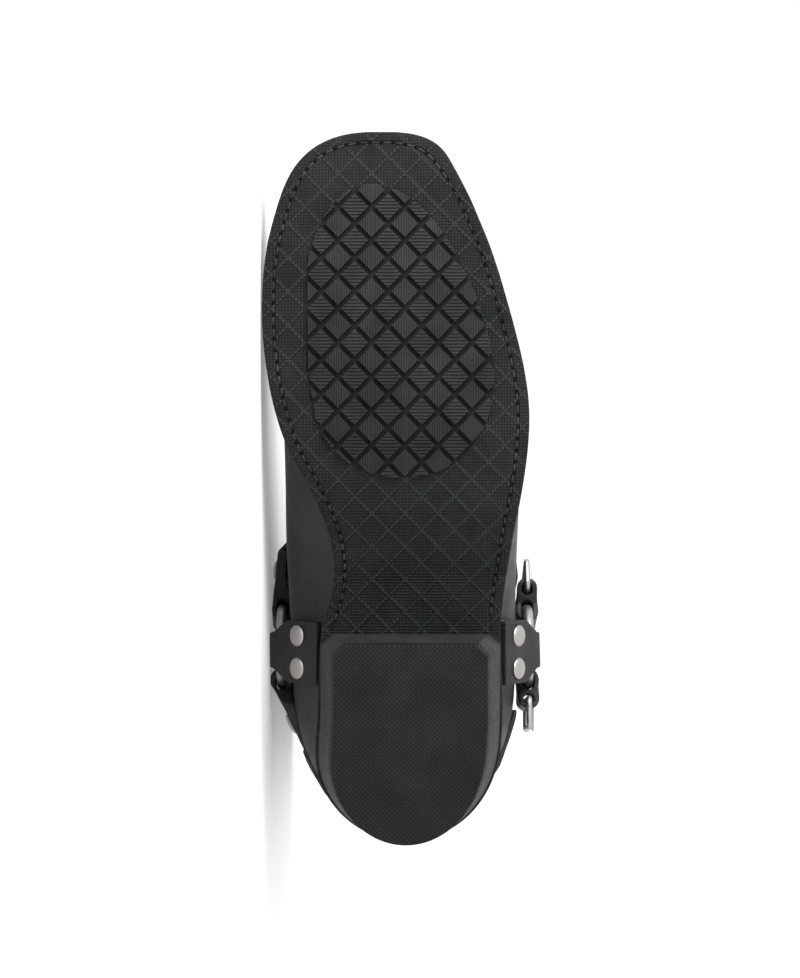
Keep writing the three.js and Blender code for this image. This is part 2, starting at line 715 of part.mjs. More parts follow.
// Plan of a strap end: narrow in the ring, then out to the strap's width
function taperPlan(frame, reach) {
  const narrow = FOLD_WIDTH / 2;
  const wide = STRAP_WIDTH / 2;
  const start = FOLD_NEAR - FOLD_OUTER - CLEARANCE;
  const turn = RING_RADIUS + CLEARANCE;
  const half = [[start, narrow], [turn, narrow], [turn + TAPER_RUN, wide], [reach, wide]];
  const outline = [...half, ...half.map(([x, y]) => [x, -y]).reverse()];
  const lying = frame.clone().multiply(new THREE.Matrix4().makeRotationX(Math.PI / 2));
  return extrudeAcross(outline, [], 4 * STRAP_WIDTH, lying);
}

function offsetFrom([x0, y0], [x1, y1], distance, at) {
  const length = Math.hypot(x1 - x0, y1 - y0);
  return [at[0] - ((y1 - y0) / length) * distance, at[1] + ((x1 - x0) / length) * distance];
}

// How far away from the leg the cleared leather stands in a ring's frame
function leatherAt(side, frame, out) {
  const [low, high] = [[out, -BALL_WIDTH / 2, -CLEARANCE], [out + CLEARANCE, BALL_WIDTH, CLEARANCE]];
  const { min, max } = boxIn(frame, low, high).intersect(clearForm).boundingBox();
  return side > 0 ? max[0] - RING_X_MEDIAL : -min[0] - RING_X_LATERAL;
}

function foldedEnd({ side, angle, meet, end, land }) {
  const frame = ringFrame(side, angle);
  const t = STRAP_THICK;
  const up = (at, distance) => offsetFrom(meet, end, distance, at);
  const outline = arc(FOLD_NEAR, 0, FOLD_OUTER, 180, 90, FOLD_STEPS);
  outline.push([RING_RADIUS, FOLD_OUTER], up(meet, t), up(end, t));
  if (land) {
    const leather = leatherAt(side, frame, land);
    outline.push([land, leather + t], [land, leather], end);
  }
  outline.push(up(end, -t), up(meet, -t), [RING_RADIUS, -FOLD_OUTER]);
  outline.push(...arc(FOLD_NEAR, 0, FOLD_OUTER, 270, 180, FOLD_STEPS).slice(0, -1));
  const profile = extrudeAcross(outline, [wireSlot()], STRAP_WIDTH, frame);
  return profile.intersect(taperPlan(frame, 3 * STRAP_WIDTH));
}

// Strap round the leg: the skin between two larger forms of the upper, within a slab at the ring
function band(angle, medialStart, lateralStart) {
  const skin = upperForm(GAP + STRAP_THICK).subtract(clearForm);
  const half = STRAP_WIDTH / 2;
  const high = [SOLE_LENGTH, BALL_WIDTH, half];
  const medial = boxIn(ringFrame(1, angle), [medialStart, -RING_X_MEDIAL - CLEARANCE, -half], high);
  const lateral = boxIn(ringFrame(-1, angle), [lateralStart, -RING_X_LATERAL - CLEARANCE, -half], high);
  return skin.intersect(medial.add(lateral));
}

function clearOfBoot(solid) {
  return solid.subtract(clearForm).subtract(weltRoom);
}

function biggestBody(solid) {
  return solid.decompose().sort((a, b) => b.volume() - a.volume())[0];
}

// Rivets stand in pairs across a strap's double end
function rivetFrames(spec) {
  const at = spec.meet.map((value, i) => THREE.MathUtils.lerp(value, spec.end[i], spec.rivet));
  const slope = Math.atan2(spec.end[1] - spec.meet[1], spec.end[0] - spec.meet[0]);
  return [-1, 1].map((way) => ringFrame(spec.side, spec.angle)
    .multiply(new THREE.Matrix4().makeTranslation(at[0], at[1], (way * RIVET_PITCH) / 2))
    .multiply(new THREE.Matrix4().makeRotationZ(slope)));
}

function lathe(profile, segments, frame) {
  const points = profile.map(([radius, height]) => new THREE.Vector2(radius, height));
  const solid = toSolid(new THREE.LatheGeometry(points, segments).applyMatrix4(frame));
  if (solid.volume() > 0) return solid;
  return toSolid(new THREE.LatheGeometry(points.reverse(), segments).applyMatrix4(frame));
}

// The rivet's dome turns in at these shares of its radius and height
const DOME_WIDE = 0.7;
const DOME_HIGH = 0.8;
const RIVET_SIDES = 12;
const BORE_SIDES = 8;

function rivet(frame) {
  const shank = RIVET_SHANK / 2;
  const cap = RIVET_CAP / 2;
  const seat = STRAP_THICK + GAP / 2;
  const half = [[shank, seat], [cap, seat], [cap * DOME_WIDE, seat + RIVET_DOME * DOME_HIGH]];
  const other = half.map(([radius, height]) => [radius, -height]).reverse();
  const dome = seat + RIVET_DOME;
  return lathe([[0, -dome], ...other, ...half, [0, dome]], RIVET_SIDES, frame);
}

function rivetBore(frame) {
  const radius = RIVET_SHANK / 2 + GAP / 2;
  return lathe([[0, -DEEP], [radius, -DEEP], [radius, DEEP], [0, DEEP]], BORE_SIDES, frame);
}

function withBores(solid, spec) {
  return rivetFrames(spec).reduce((body, frame) => body.subtract(rivetBore(frame)), solid);
}

function harnessStrap(spec, lateralStart) {
  const end = foldedEnd(spec);
  const whole = spec.land ? end.add(band(spec.angle, spec.land - STRAP_THICK, lateralStart)) : end;
  return biggestBody(withBores(clearOfBoot(whole), spec));
}

const WIRE_SIDES = 7;
const RING_STEPS = 22;

function ring(side) {
  const geometry = new THREE.TorusGeometry(RING_RADIUS, WIRE_RADIUS, WIRE_SIDES, RING_STEPS);
  geometry.rotateX(Math.PI / 2);
  return toSolid(geometry.applyMatrix4(ringFrame(side, 0)));
}

const LOOP_ARC_STEPS = 10;
const BORE_STEPS = 12;

// Lateral tab: one loop round the ring and the buckle's heel bar, slit for the prong
function tab(angle) {
  const frame = ringFrame(-1, angle);
  const bar = BAR_BORE + STRAP_THICK;
  const outline = [
    ...arc(FOLD_NEAR, 0, FOLD_OUTER, 270, 90, LOOP_ARC_STEPS),
    ...arc(BUCKLE_REACH, 0, bar, 90, -90, LOOP_ARC_STEPS),
  ];
  const bore = arc(BUCKLE_REACH, 0, BAR_BORE, 0, 360, BORE_STEPS).slice(0, -1);
  const plan = taperPlan(frame, 2 * STRAP_WIDTH);
  const body = extrudeAcross(outline, [wireSlot(), bore], STRAP_WIDTH, frame).intersect(plan);
  const half = PRONG_WIDTH / 2 + GAP;
  const slit = boxIn(frame, [BUCKLE_REACH - bar, -2 * bar, -half], [2 * BUCKLE_REACH, 2 * bar, half]);
  return biggestBody(clearOfBoot(body.subtract(slit)));
}

// Corners of the buckle's frame are cut by its wire's width outside and by less inside
const INNER_CORNER = BUCKLE_WIRE * 0.4;

function buckleRim(inset) {
  const low = BUCKLE_REACH - BUCKLE_WIRE / 2 + inset;
  const high = low + BUCKLE_LENGTH - 2 * inset;
  const half = BUCKLE_WIDTH / 2 - inset;
  const cut = inset > 0 ? INNER_CORNER : BUCKLE_WIRE;
  return [
    [low, cut - half], [low + cut, -half], [high - cut, -half], [high, cut - half],
    [high, half - cut], [high - cut, half], [low + cut, half], [low, half - cut],
  ];
}

function buckleFrame(angle) {
  const flat = ringFrame(-1, angle).multiply(new THREE.Matrix4().makeRotationX(Math.PI / 2));
  return clearOfBoot(extrudeAcross(buckleRim(0), [buckleRim(BUCKLE_WIRE).reverse()], BUCKLE_WIRE, flat));
}

// The prong curls round the heel bar of the frame and rests on the bar at the frame's other end
function prong(angle) {
  const bore = BUCKLE_WIRE * PRONG_PLAY;
  const curl = bore + PRONG_THICK;
  const rest = BUCKLE_WIRE / 2 + GAP;
  const tip = BUCKLE_REACH + BUCKLE_LENGTH - BUCKLE_WIRE / 2;
  const outline = [
    ...arc(BUCKLE_REACH, 0, curl, 60, 330, LOOP_ARC_STEPS),
    [BUCKLE_REACH + curl, rest],
    [tip, rest],
    [tip, rest + PRONG_THICK],
    [BUCKLE_REACH + curl, rest + PRONG_THICK],
  ];
  const hole = arc(BUCKLE_REACH, 0, bore, 0, 360, BORE_STEPS).slice(0, -1);
  return extrudeAcross(outline, [hole], PRONG_WIDTH, ringFrame(-1, angle));
}

// Cuts leave a few very short edges and flat triangles. A short edge is drawn together to one corner,
// unless that would pinch or fold the surface, and a flat triangle's long edge is turned.

const SHORT_EDGE = 0.06;
const FLAT_TRIANGLE = 0.01;

function edgesOf(triangles) {
  const edges = new Map();
  triangles.forEach((triangle, owner) => triangle.forEach((from, i) => {
    edges.set(`${from} ${triangle[(i + 1) % 3]}`, { from, to: triangle[(i + 1) % 3], owner });
  }));
  return [...edges.values()];
}

function faceNormal(points, [a, b, c]) {
  const along = points[b].clone().sub(points[a]);
  return along.cross(points[c].clone().sub(points[a]));
}

function pinches(points, triangles, { from, to }) {
  const near = (corner) => new Set(triangles.filter((t) => t.includes(corner)).flat());
  const others = near(to);
  const shared = [...near(from)].filter((corner) => others.has(corner));
  if (shared.length !== 4) return true;
  return triangles.some((t) => {
    if (!t.includes(to) || t.includes(from)) return false;
    const moved = t.map((corner) => (corner === to ? from : corner));
    return faceNormal(points, t).dot(faceNormal(points, moved)) < 0;
  });
}

function drawTogether(points, triangles) {
  const length = (edge) => points[edge.from].distanceTo(points[edge.to]);
  const short = edgesOf(triangles).filter((edge) => length(edge) < SHORT_EDGE);
  short.sort((a, b) => length(a) - length(b));
  const edge = short.find((each) => !pinches(points, triangles, each));
  if (!edge) return triangles;
  const moved = triangles.map((t) => t.map((corner) => (corner === edge.to ? edge.from : corner)));
  return drawTogether(points, moved.filter((t) => new Set(t).size === 3));
}

function turnFlat(points, triangles) {
  const edges = edgesOf(triangles);
  const owners = new Map(edges.map((edge) => [`${edge.from} ${edge.to}`, edge.owner]));
  for (const { from, to, owner } of edges) {
    const long = points[from].distanceTo(points[to]);
    const height = faceNormal(points, triangles[owner]).length() / long;
    if (height > FLAT_TRIANGLE) continue;
    const other = owners.get(`${to} ${from}`);
    const tip = triangles[owner].find((corner) => corner !== from && corner !== to);
    const far = triangles[other].find((corner) => corner !== from && corner !== to);
    if (owners.has(`${tip} ${far}`) || owners.has(`${far} ${tip}`)) continue;
    const facing = faceNormal(points, triangles[other]).normalize();
    const pair = [[tip, from, far], [tip, far, to]];
    const flat = (t) => faceNormal(points, t).dot(facing) < FLAT_TRIANGLE * points[tip].distanceTo(points[far]);
    if (pair.some(flat)) continue;
    return turnFlat(points, [...triangles.filter((t, i) => i !== owner && i !== other), ...pair]);
  }
  return triangles;
}

function cleaned(solid) {
  const mesh = solid.getMesh();
  const points = [];
  for (let i = 0; i < mesh.vertProperties.length; i += mesh.numProp) {
    points.push(new THREE.Vector3().fromArray(mesh.vertProperties, i));
  }
  let triangles = [];
  for (let i = 0; i < mesh.triVerts.length; i += 3) triangles.push([...mesh.triVerts.slice(i, i + 3)]);
  triangles = turnFlat(points, drawTogether(points, triangles));
  return toSolid(meshFrom(points, triangles.flat()));
}

// Materials and assembly

const BLACK_LEATHER = { color: 0x1b1a1a, roughness: 0.42, metalness: 0 };
const BLACK_RUBBER = { color: 0x232424, roughness: 0.8, metalness: 0 };
const INSOLE_LEATHER = { color: 0x8a6a4a, roughness: 0.7, metalness: 0 };
const NICKEL = { color: 0xa39d98, roughness: 0.25, metalness: 1 };

const boot = new THREE.Group();

function addPiece(name, solid, finish) {
  const piece = new THREE.Mesh(toGeometry(cleaned(solid)), new THREE.MeshStandardMaterial(finish));
  piece.name = name;
  boot.add(piece);
  return piece;
}

const clearForm = upperForm(GAP);
addPiece("outsole", outsole(), BLACK_RUBBER);
addPiece("welt", welt(clearForm), BLACK_LEATHER);
addPiece("heel_stack", heelStack(), BLACK_RUBBER);
addPiece("heel_lift", heelLift(), BLACK_RUBBER);
addPiece("upper", hollowUpper(LEATHER_WALL), BLACK_LEATHER);
addPiece("insole", insole(), INSOLE_LEATHER);

const weltRoom = soleSlab(() => 0, slabBottom, (y) => slabTop(y) + WELT_THICK + 2 * GAP, SLAB_STATIONS);
const tabEnd = BUCKLE_REACH + BAR_BORE + STRAP_THICK + GAP;
addPiece("side_strap_medial", harnessStrap(STRAP_ENDS.sideMedial, 0), BLACK_LEATHER);
addPiece("side_strap_lateral", harnessStrap(STRAP_ENDS.sideLateral, 0), BLACK_LEATHER);
addPiece("instep_strap", harnessStrap(STRAP_ENDS.instep, tabEnd), BLACK_LEATHER);
addPiece("heel_strap", harnessStrap(STRAP_ENDS.heel, tabEnd), BLACK_LEATHER);
addPiece("ring_medial", ring(1), NICKEL);
addPiece("ring_lateral", ring(-1), NICKEL);
for (const [name, angle] of [["instep", INSTEP_ANGLE], ["heel", HEEL_ANGLE]]) {
  addPiece(`${name}_tab`, tab(angle), BLACK_LEATHER);
  addPiece(`${name}_buckle`, buckleFrame(angle), NICKEL);
  addPiece(`${name}_prong`, prong(angle), NICKEL);
}
for (const [name, spec] of Object.entries(STRAP_ENDS)) {
  rivetFrames(spec).forEach((frame, i) => {
    addPiece(`rivet_${name}_${i + 1}`, biggestBody(clearOfBoot(rivet(frame))), NICKEL);
  });
}

// The boot lies on its medial side: toe to -X, shaft to +Y, and the origin under the middle of its box
boot.matrixAutoUpdate = false;
const lying = new THREE.Matrix4().set(0, -1, 0, 0, 0, 0, 1, 0, -1, 0, 0, 0, 0, 0, 0, 1);
boot.matrix.copy(lying);
const model = new THREE.Group();
model.add(boot);
model.updateMatrixWorld(true);
const box = new THREE.Box3().setFromObject(model, true);
model.position.set(-(box.min.x + box.max.x) / 2, -(box.min.y + box.max.y) / 2, -box.min.z);

export default model;
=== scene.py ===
"""Looks of the left harness boot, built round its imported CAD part."""

import math

import bpy
import numpy as np
from mathutils import Matrix, Vector


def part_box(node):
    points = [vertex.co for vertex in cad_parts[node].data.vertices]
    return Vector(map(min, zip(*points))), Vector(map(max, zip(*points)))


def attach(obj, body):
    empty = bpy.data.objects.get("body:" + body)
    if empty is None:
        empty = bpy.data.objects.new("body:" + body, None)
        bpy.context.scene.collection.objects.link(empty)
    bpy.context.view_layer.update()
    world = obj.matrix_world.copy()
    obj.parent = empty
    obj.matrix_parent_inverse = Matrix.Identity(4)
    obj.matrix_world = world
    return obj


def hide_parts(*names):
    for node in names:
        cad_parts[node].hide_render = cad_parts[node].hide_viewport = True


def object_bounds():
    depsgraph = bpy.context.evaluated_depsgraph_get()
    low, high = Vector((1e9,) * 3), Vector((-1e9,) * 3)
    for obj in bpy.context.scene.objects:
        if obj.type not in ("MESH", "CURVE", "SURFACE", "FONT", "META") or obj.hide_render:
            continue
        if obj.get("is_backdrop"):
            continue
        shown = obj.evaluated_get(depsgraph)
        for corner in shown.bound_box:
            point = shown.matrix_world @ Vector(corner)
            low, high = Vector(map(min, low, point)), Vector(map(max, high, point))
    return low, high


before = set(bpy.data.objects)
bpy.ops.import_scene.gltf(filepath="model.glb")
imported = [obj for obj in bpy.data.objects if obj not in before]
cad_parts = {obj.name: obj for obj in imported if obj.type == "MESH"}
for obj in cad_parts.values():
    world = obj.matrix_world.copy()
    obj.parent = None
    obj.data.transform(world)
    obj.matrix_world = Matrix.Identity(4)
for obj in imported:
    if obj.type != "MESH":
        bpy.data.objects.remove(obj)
FIRST_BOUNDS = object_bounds()

# The CAD part's sizes, in millimetres in the boot's own frame: +X medial, +Y to the toe, +Z up the shaft
SOLE_LENGTH = 306.0
BALL_WIDTH = 112.7
BOOT_HEIGHT = 310.0
HEEL_HEIGHT = 40.0
GAP = 0.3
OUTSOLE_THICK = 5.0
LUG_DEPTH = 2.0
TOE_SPRING = 9.5
WELT_THICK = 3.8
WELT_TRIM = 0.6
WELT_SHOW = 6.5
SEAT_SHOW = 2.6
HEEL_ROUND = 42.0
TOE_ROUND = 70.0
LEATHER_WALL = 2.4
INSOLE_THICK = 4.0
LIFT_THICK = 8.0
HEEL_TAPER = 7.1
HEEL_BACK_TAPER = 3.2
HEEL_TRIM = 1.0
BREAST_Y = 91.0
BREAST_LEAN = 2.5
CORNER_CUT = 5.0
INSERT_Y = 205.0
INSERT_X = 1.1
INSERT_WIDTH = 78.6
INSERT_TOE_REACH = 78.0
INSERT_HEEL_REACH = 46.0
INSERT_SKEW = 0.16
STRAP_WIDTH = 28.0
STRAP_THICK = 2.4
RING_ACROSS = 39.0
RING_WIRE = 4.5
RING_X_MEDIAL = 0.4925 * BALL_WIDTH
RING_X_LATERAL = 0.5013 * BALL_WIDTH
RING_Y = 81.5
RING_Z = 91.0
INSTEP_ANGLE = 26.0
HEEL_ANGLE = 188.0
RIVET_CAP = 9.5
RIVET_DOME = 1.5
RIVET_SHANK = 2.8
RIVET_PITCH = 14.5
BUCKLE_LENGTH = 15.6
BUCKLE_WIDTH = 34.0
BUCKLE_WIRE = 2.6
BUCKLE_REACH = 24.0
SEAT_LIP = 3.0
SEAT_RISE = 30.0

# Lugs and their ribs: feet and faces lie in from the tread's lowest level
LUG_WIDE = 14.1
LUG_LONG = 14.4
LUG_GROOVE = 1.9
LUG_X = -0.35
LUG_Y = 208.3
LUG_FOOT = LUG_DEPTH + 0.5
LUG_FACE = 0.55
LUG_BEVEL = 0.2
RIBS_FLAT = 1.4
RIBS_UPRIGHT = 1.05
RIB_FOOT = 0.9
RIB_BEVEL = 0.12

# Crosshatch and stitches
HATCH = 2.0
FIELD_HATCH = 1.3
SOLE_STITCH_IN = 4.8
SOLE_STITCH_PITCH = 5.0
SOLE_STITCH = 3.9
HOLE_RADIUS = 0.75
UPPER_PITCH = 3.2
UPPER_STITCH = 2.3

# Straps: the line pressed in along each edge, and what the run gains on the boot's other side
EDGE_LINE_IN = 2.3
EDGE_LINE_WIDE = 0.55
EDGE_LINE_DEPTH = 0.34
OTHER_SIDE = 60

# Forms: powers of rounded ends, shares of the length between which the welt comes out, cosine share
# and end flat of the sole's loops, and a prong's eye as a share of the wire
TOE_POWER = 2.6
INSERT_TOE_POWER = 2
INSERT_HEEL_POWER = 2.3
WAIST_FROM = 0.40
WAIST_TO = 0.60
LOOP_EVEN = 0.55
END_FLAT = 0.15
PRONG_EYE = 0.76
PRONG_HALF = 0.75
BUCKLE_CORNER = 2.6

# Play between layers and over the floor, then in metres the millimetre and the play round a box
THIN_GAP = GAP * 0.3
FLOOR_PLAY = 0.02
MM = 0.001
BOX_PLAY = 0.0001

ring_low, ring_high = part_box("ring_medial")
ring_middle = (ring_low + ring_high) / (2 * MM)
SHIFT = np.array([ring_middle.x + RING_Y, ring_middle.y - RING_Z, ring_middle.z + RING_X_MEDIAL])

# Sole outline: share of the length, medial and lateral edge as shares of the ball's width
OUTLINE = np.array([
    [0.00, 0.353, -0.365], [0.09, 0.350, -0.368], [0.18, 0.335, -0.383], [0.30, 0.320, -0.374],
    [0.345, 0.284, -0.383], [0.39, 0.268, -0.397], [0.44, 0.286, -0.416], [0.50, 0.350, -0.444],
    [0.56, 0.436, -0.464], [0.615, 0.486, -0.468], [0.67, 0.515, -0.449], [0.725, 0.530, -0.414],
    [0.78, 0.530, -0.373], [0.835, 0.521, -0.332], [0.89, 0.510, -0.297], [0.95, 0.512, -0.288],
    [1.00, 0.520, -0.346],
])
# Sole in the side view: share of the length, shares of the heel's height and of the toe spring
TREAD = np.array([
    [0.00, 0.950, 0], [0.30, 0.890, 0], [0.36, 0.760, 0], [0.42, 0.500, 0], [0.48, 0.235, 0],
    [0.54, 0.070, 0], [0.59, 0, 0], [0.72, 0, 0], [0.80, 0, 0.125], [0.88, 0, 0.400],
    [0.95, 0, 0.740], [1.00, 0, 1.000],
])
# Sections of the upper: top along, top up, far end, medial, lateral, ridge, crest and round
SECTIONS = np.array([
    [0.978, 0.100, 0.978, 0.480, -0.320, 0.080, 0.34, 2.20],
    [0.968, 0.136, 0.970, 0.480, -0.320, 0.080, 0.34, 2.20],
    [0.942, 0.161, 0.945, 0.480, -0.320, 0.080, 0.34, 2.30],
    [0.898, 0.177, 0.900, 0.478, -0.310, 0.080, 0.34, 2.30],
    [0.832, 0.190, 0.834, 0.488, -0.300, 0.085, 0.33, 2.30],
    [0.758, 0.207, 0.752, 0.500, -0.365, 0.070, 0.32, 2.20],
    [0.685, 0.234, 0.667, 0.490, -0.420, 0.045, 0.31, 2.15],
    [0.620, 0.272, 0.582, 0.466, -0.448, 0.020, 0.33, 2.10],
    [0.564, 0.321, 0.490, 0.460, -0.450, 0.000, 0.38, 2.10],
    [0.519, 0.379, 0.386, 0.462, -0.446, 0.000, 0.42, 2.10],
    [0.486, 0.437, 0.275, 0.455, -0.445, 0.000, 0.45, 2.10],
    [0.466, 0.495, 0.157, 0.445, -0.445, 0.000, 0.48, 2.10],
    [0.456, 0.548, 0.072, 0.438, -0.436, 0.000, 0.50, 2.10],
    [0.452, 0.595, 0.000, 0.434, -0.430, 0.000, 0.50, 2.10],
    [0.451, 0.645, -0.235, 0.434, -0.426, 0.010, 0.50, 2.10],
    [0.453, 0.703, -0.340, 0.440, -0.424, 0.020, 0.50, 2.10],
    [0.456, 0.768, -0.470, 0.455, -0.422, 0.030, 0.50, 2.10],
    [0.460, 0.845, -0.640, 0.482, -0.420, 0.045, 0.50, 2.10],
    [0.463, 0.924, -0.830, 0.514, -0.415, 0.060, 0.50, 2.10],
    [0.464, 1.000, -1.000, 0.537, -0.410, 0.070, 0.50, 2.10],
])
# Back of the upper: share of the height, place as a share of the length, roundness of the back
BACK_LINE = np.array([
    [0.140, 0.0085, 0.94], [0.190, 0.0040, 1.20], [0.245, 0.0055, 1.50], [0.310, 0.0200, 1.52],
    [0.380, 0.0310, 1.50], [0.460, 0.0330, 1.50], [0.600, 0.0220, 1.54], [0.760, 0.0120, 1.60],
    [1.000, 0.0065, 1.64],
])
CORNER_ROW = 13
LAST_ROW = len(SECTIONS) - 1


def smoothstep(low, high, value):
    t = np.clip((value - low) / (high - low), 0, 1)
    return t * t * (3 - 2 * t)


def mix(a, b, share):
    return a + (b - a) * share


def smooth_column(column, place):
    last = len(column) - 1
    index = np.clip(np.floor(place).astype(int), 0, last - 1)
    t = place - index
    p0, p1, p2, p3 = (column[np.clip(index + k, 0, last)] for k in (-1, 0, 1, 2))
    bend = (2 * p0 - 5 * p1 + 4 * p2 - p3) * t * t
    return 0.5 * (2 * p1 + (p2 - p0) * t + bend + (3 * p1 - p0 - 3 * p2 + p3) * t ** 3)


def read_table(table, value, column):
    keys, values = table[:, 0], table[:, column]
    last = len(keys) - 1
    value = np.clip(value, keys[0], keys[-1])
    index = np.clip(np.searchsorted(keys, value, side="left") - 1, 0, last - 1)
    span = keys[index + 1] - keys[index]
    t = (value - keys[index]) / span

    def slope(i):
        before, after = np.clip(i - 1, 0, last), np.clip(i + 1, 0, last)
        return (values[after] - values[before]) / (keys[after] - keys[before])

    ends = values[index] * (2 * t ** 3 - 3 * t ** 2 + 1) + values[index + 1] * (3 * t ** 2 - 2 * t ** 3)
    slopes = slope(index) * (t ** 3 - 2 * t ** 2 + t) + slope(index + 1) * (t ** 3 - t ** 2)
    return ends + slopes * span


def round_end(distance, reach, power):
    share = np.clip(1 - np.maximum(distance, 0) / reach, 0, 1)
    return (1 - share ** power) ** (1 / power)


def slab_bottom(y):
    along = np.asarray(y, float) / SOLE_LENGTH
    heel = np.maximum(read_table(TREAD, along, 1), 0) * HEEL_HEIGHT
    return LUG_DEPTH + heel + np.maximum(read_table(TREAD, along, 2), 0) * TOE_SPRING


def slab_top(y):
    return slab_bottom(y) + OUTSOLE_THICK


def seat_height(y):
    return slab_top(y) + GAP


def outline_at(y, inset):
    along = np.asarray(y, float) / SOLE_LENGTH
    medial = read_table(OUTLINE, along, 1) * BALL_WIDTH
    lateral = read_table(OUTLINE, along, 2) * BALL_WIDTH
    heel = round_end(y - inset, HEEL_ROUND - inset, 2)
    toe = round_end(SOLE_LENGTH - inset - y, TOE_ROUND - inset, TOE_POWER)
    return (medial + lateral) / 2, (medial - lateral) / 2 - inset, heel, toe


def upper_inset(y):
    return mix(SEAT_SHOW, WELT_SHOW, smoothstep(WAIST_FROM * SOLE_LENGTH, WAIST_TO * SOLE_LENGTH, y))


def back_line(z):
    return read_table(BACK_LINE, np.asarray(z, float) / BOOT_HEIGHT, 1) * SOLE_LENGTH


SEAT_BACK_Z = float(seat_height(SEAT_SHOW))
SEAT_BACK_Y = float(back_line(SEAT_BACK_Z))


def far_point(place):
    front = smooth_column(np.maximum(SECTIONS[:CORNER_ROW + 1, 2], 0), np.minimum(place, CORNER_ROW))
    back_rows = np.minimum(SECTIONS[CORNER_ROW:, 2], -SEAT_BACK_Z / BOOT_HEIGHT)
    back = smooth_column(back_rows, np.maximum(place - CORNER_ROW, 0))
    front_y = np.maximum(front * SOLE_LENGTH, SEAT_BACK_Y)
    back_z = np.maximum(-back * BOOT_HEIGHT, SEAT_BACK_Z)
    ahead = place <= CORNER_ROW
    return np.where(ahead, front_y, back_line(back_z)), np.where(ahead, seat_height(front_y), back_z)


def plain_point(place, around):
    """Outer surface of the upper. Around is -1 at the lateral far end, 0 on top and 1 medially."""
    top_y, top_z, _, medial, lateral, ridge, crest, power = (
        smooth_column(SECTIONS[:, c], place) for c in range(8))
    down = np.abs(around)
    closed = smoothstep(CORNER_ROW - 2, CORNER_ROW, place)
    share = mix(np.cos(down * np.pi / 2), (1 + np.cos(down * np.pi)) / 2, closed)
    far_y, far_z = far_point(place)
    y = mix(far_y, top_y * SOLE_LENGTH, share)
    z = mix(far_z, top_z * BOOT_HEIGHT, share)
    seat_y = np.maximum(y, SEAT_BACK_Y)
    centre, half, _, toe = outline_at(seat_y, upper_inset(seat_y))
    rise = smoothstep(SEAT_LIP, SEAT_RISE, z - seat_height(seat_y))
    lateral_side = around < 0
    bulk = np.where(lateral_side, lateral, medial) * BALL_WIDTH
    reach = mix(centre + np.where(lateral_side, -half, half), bulk, rise)
    spine = mix(centre, ridge * BALL_WIDTH, smoothstep(0, 1, np.maximum(share, rise)))
    over_top = np.clip((share - crest) / (1 - crest), 0, 1)
    top_round = (1 - over_top ** power) ** (1 / power)
    back_round = read_table(BACK_LINE, z / BOOT_HEIGHT, 2) * HEEL_ROUND
    heel = round_end(y - back_line(z), back_round, 2)
    return np.stack([spine + (reach - spine) * top_round * heel * toe, y, z], axis=-1)


def unit(v):
    return v / np.maximum(np.linalg.norm(v, axis=-1, keepdims=True), 1e-9)


def slopes_at(place, around, step=2e-3):
    a0, a1 = np.maximum(place - step, 0), np.minimum(place + step, LAST_ROW)
    b0, b1 = np.maximum(around - step, -1), np.minimum(around + step, 1)
    along = (plain_point(a1, around) - plain_point(a0, around)) / (a1 - a0)[..., None]
    across = (plain_point(place, b1) - plain_point(place, b0)) / (b1 - b0)[..., None]
    return along, across


def normal_at(place, around):
    along, across = slopes_at(place, around)
    return unit(np.cross(along, across))


# Creases worked in by wear: side (0 both), two ends in the side view, depth and half width
CREASES = [
    (0, 232, 52, 206, 26, 0.9, 4.5), (0, 219, 58, 192, 30, 1.1, 4.5), (0, 205, 64, 182, 40, 0.7, 4.0),
    (1, 196, 20, 214, 40, 0.5, 5.0), (-1, 204, 18, 219, 36, 0.6, 5.0),
    (0, 147, 155, 108, 132, 1.1, 5.0), (0, 145, 172, 96, 150, 1.4, 6.0), (0, 142, 189, 104, 178, 0.9, 5.5),
    (0, 10, 150, 52, 133, 1.0, 6.0), (0, 12, 170, 60, 158, 1.2, 7.0), (0, 11, 126, 40, 116, 0.8, 5.0),
    (1, 112, 214, 60, 236, 0.9, 10.0), (-1, 118, 226, 54, 205, 0.9, 10.0),
    (1, 40, 262, 96, 250, 0.6, 11.0), (-1, 30, 250, 92, 268, 0.7, 11.0),
]


def strap_cover(p, angle):
    """1 under a strap and beside it, 0 clear of it."""
    turn = math.radians(angle)
    y, z = p[..., 1] - RING_Y, p[..., 2] - RING_Z
    out = y * math.cos(turn) + z * math.sin(turn)
    across = y * math.sin(turn) - z * math.cos(turn)
    beside = 1 - smoothstep(STRAP_WIDTH / 2 + 1, STRAP_WIDTH / 2 + 9, np.abs(across))
    return beside * smoothstep(-10, 4, out)


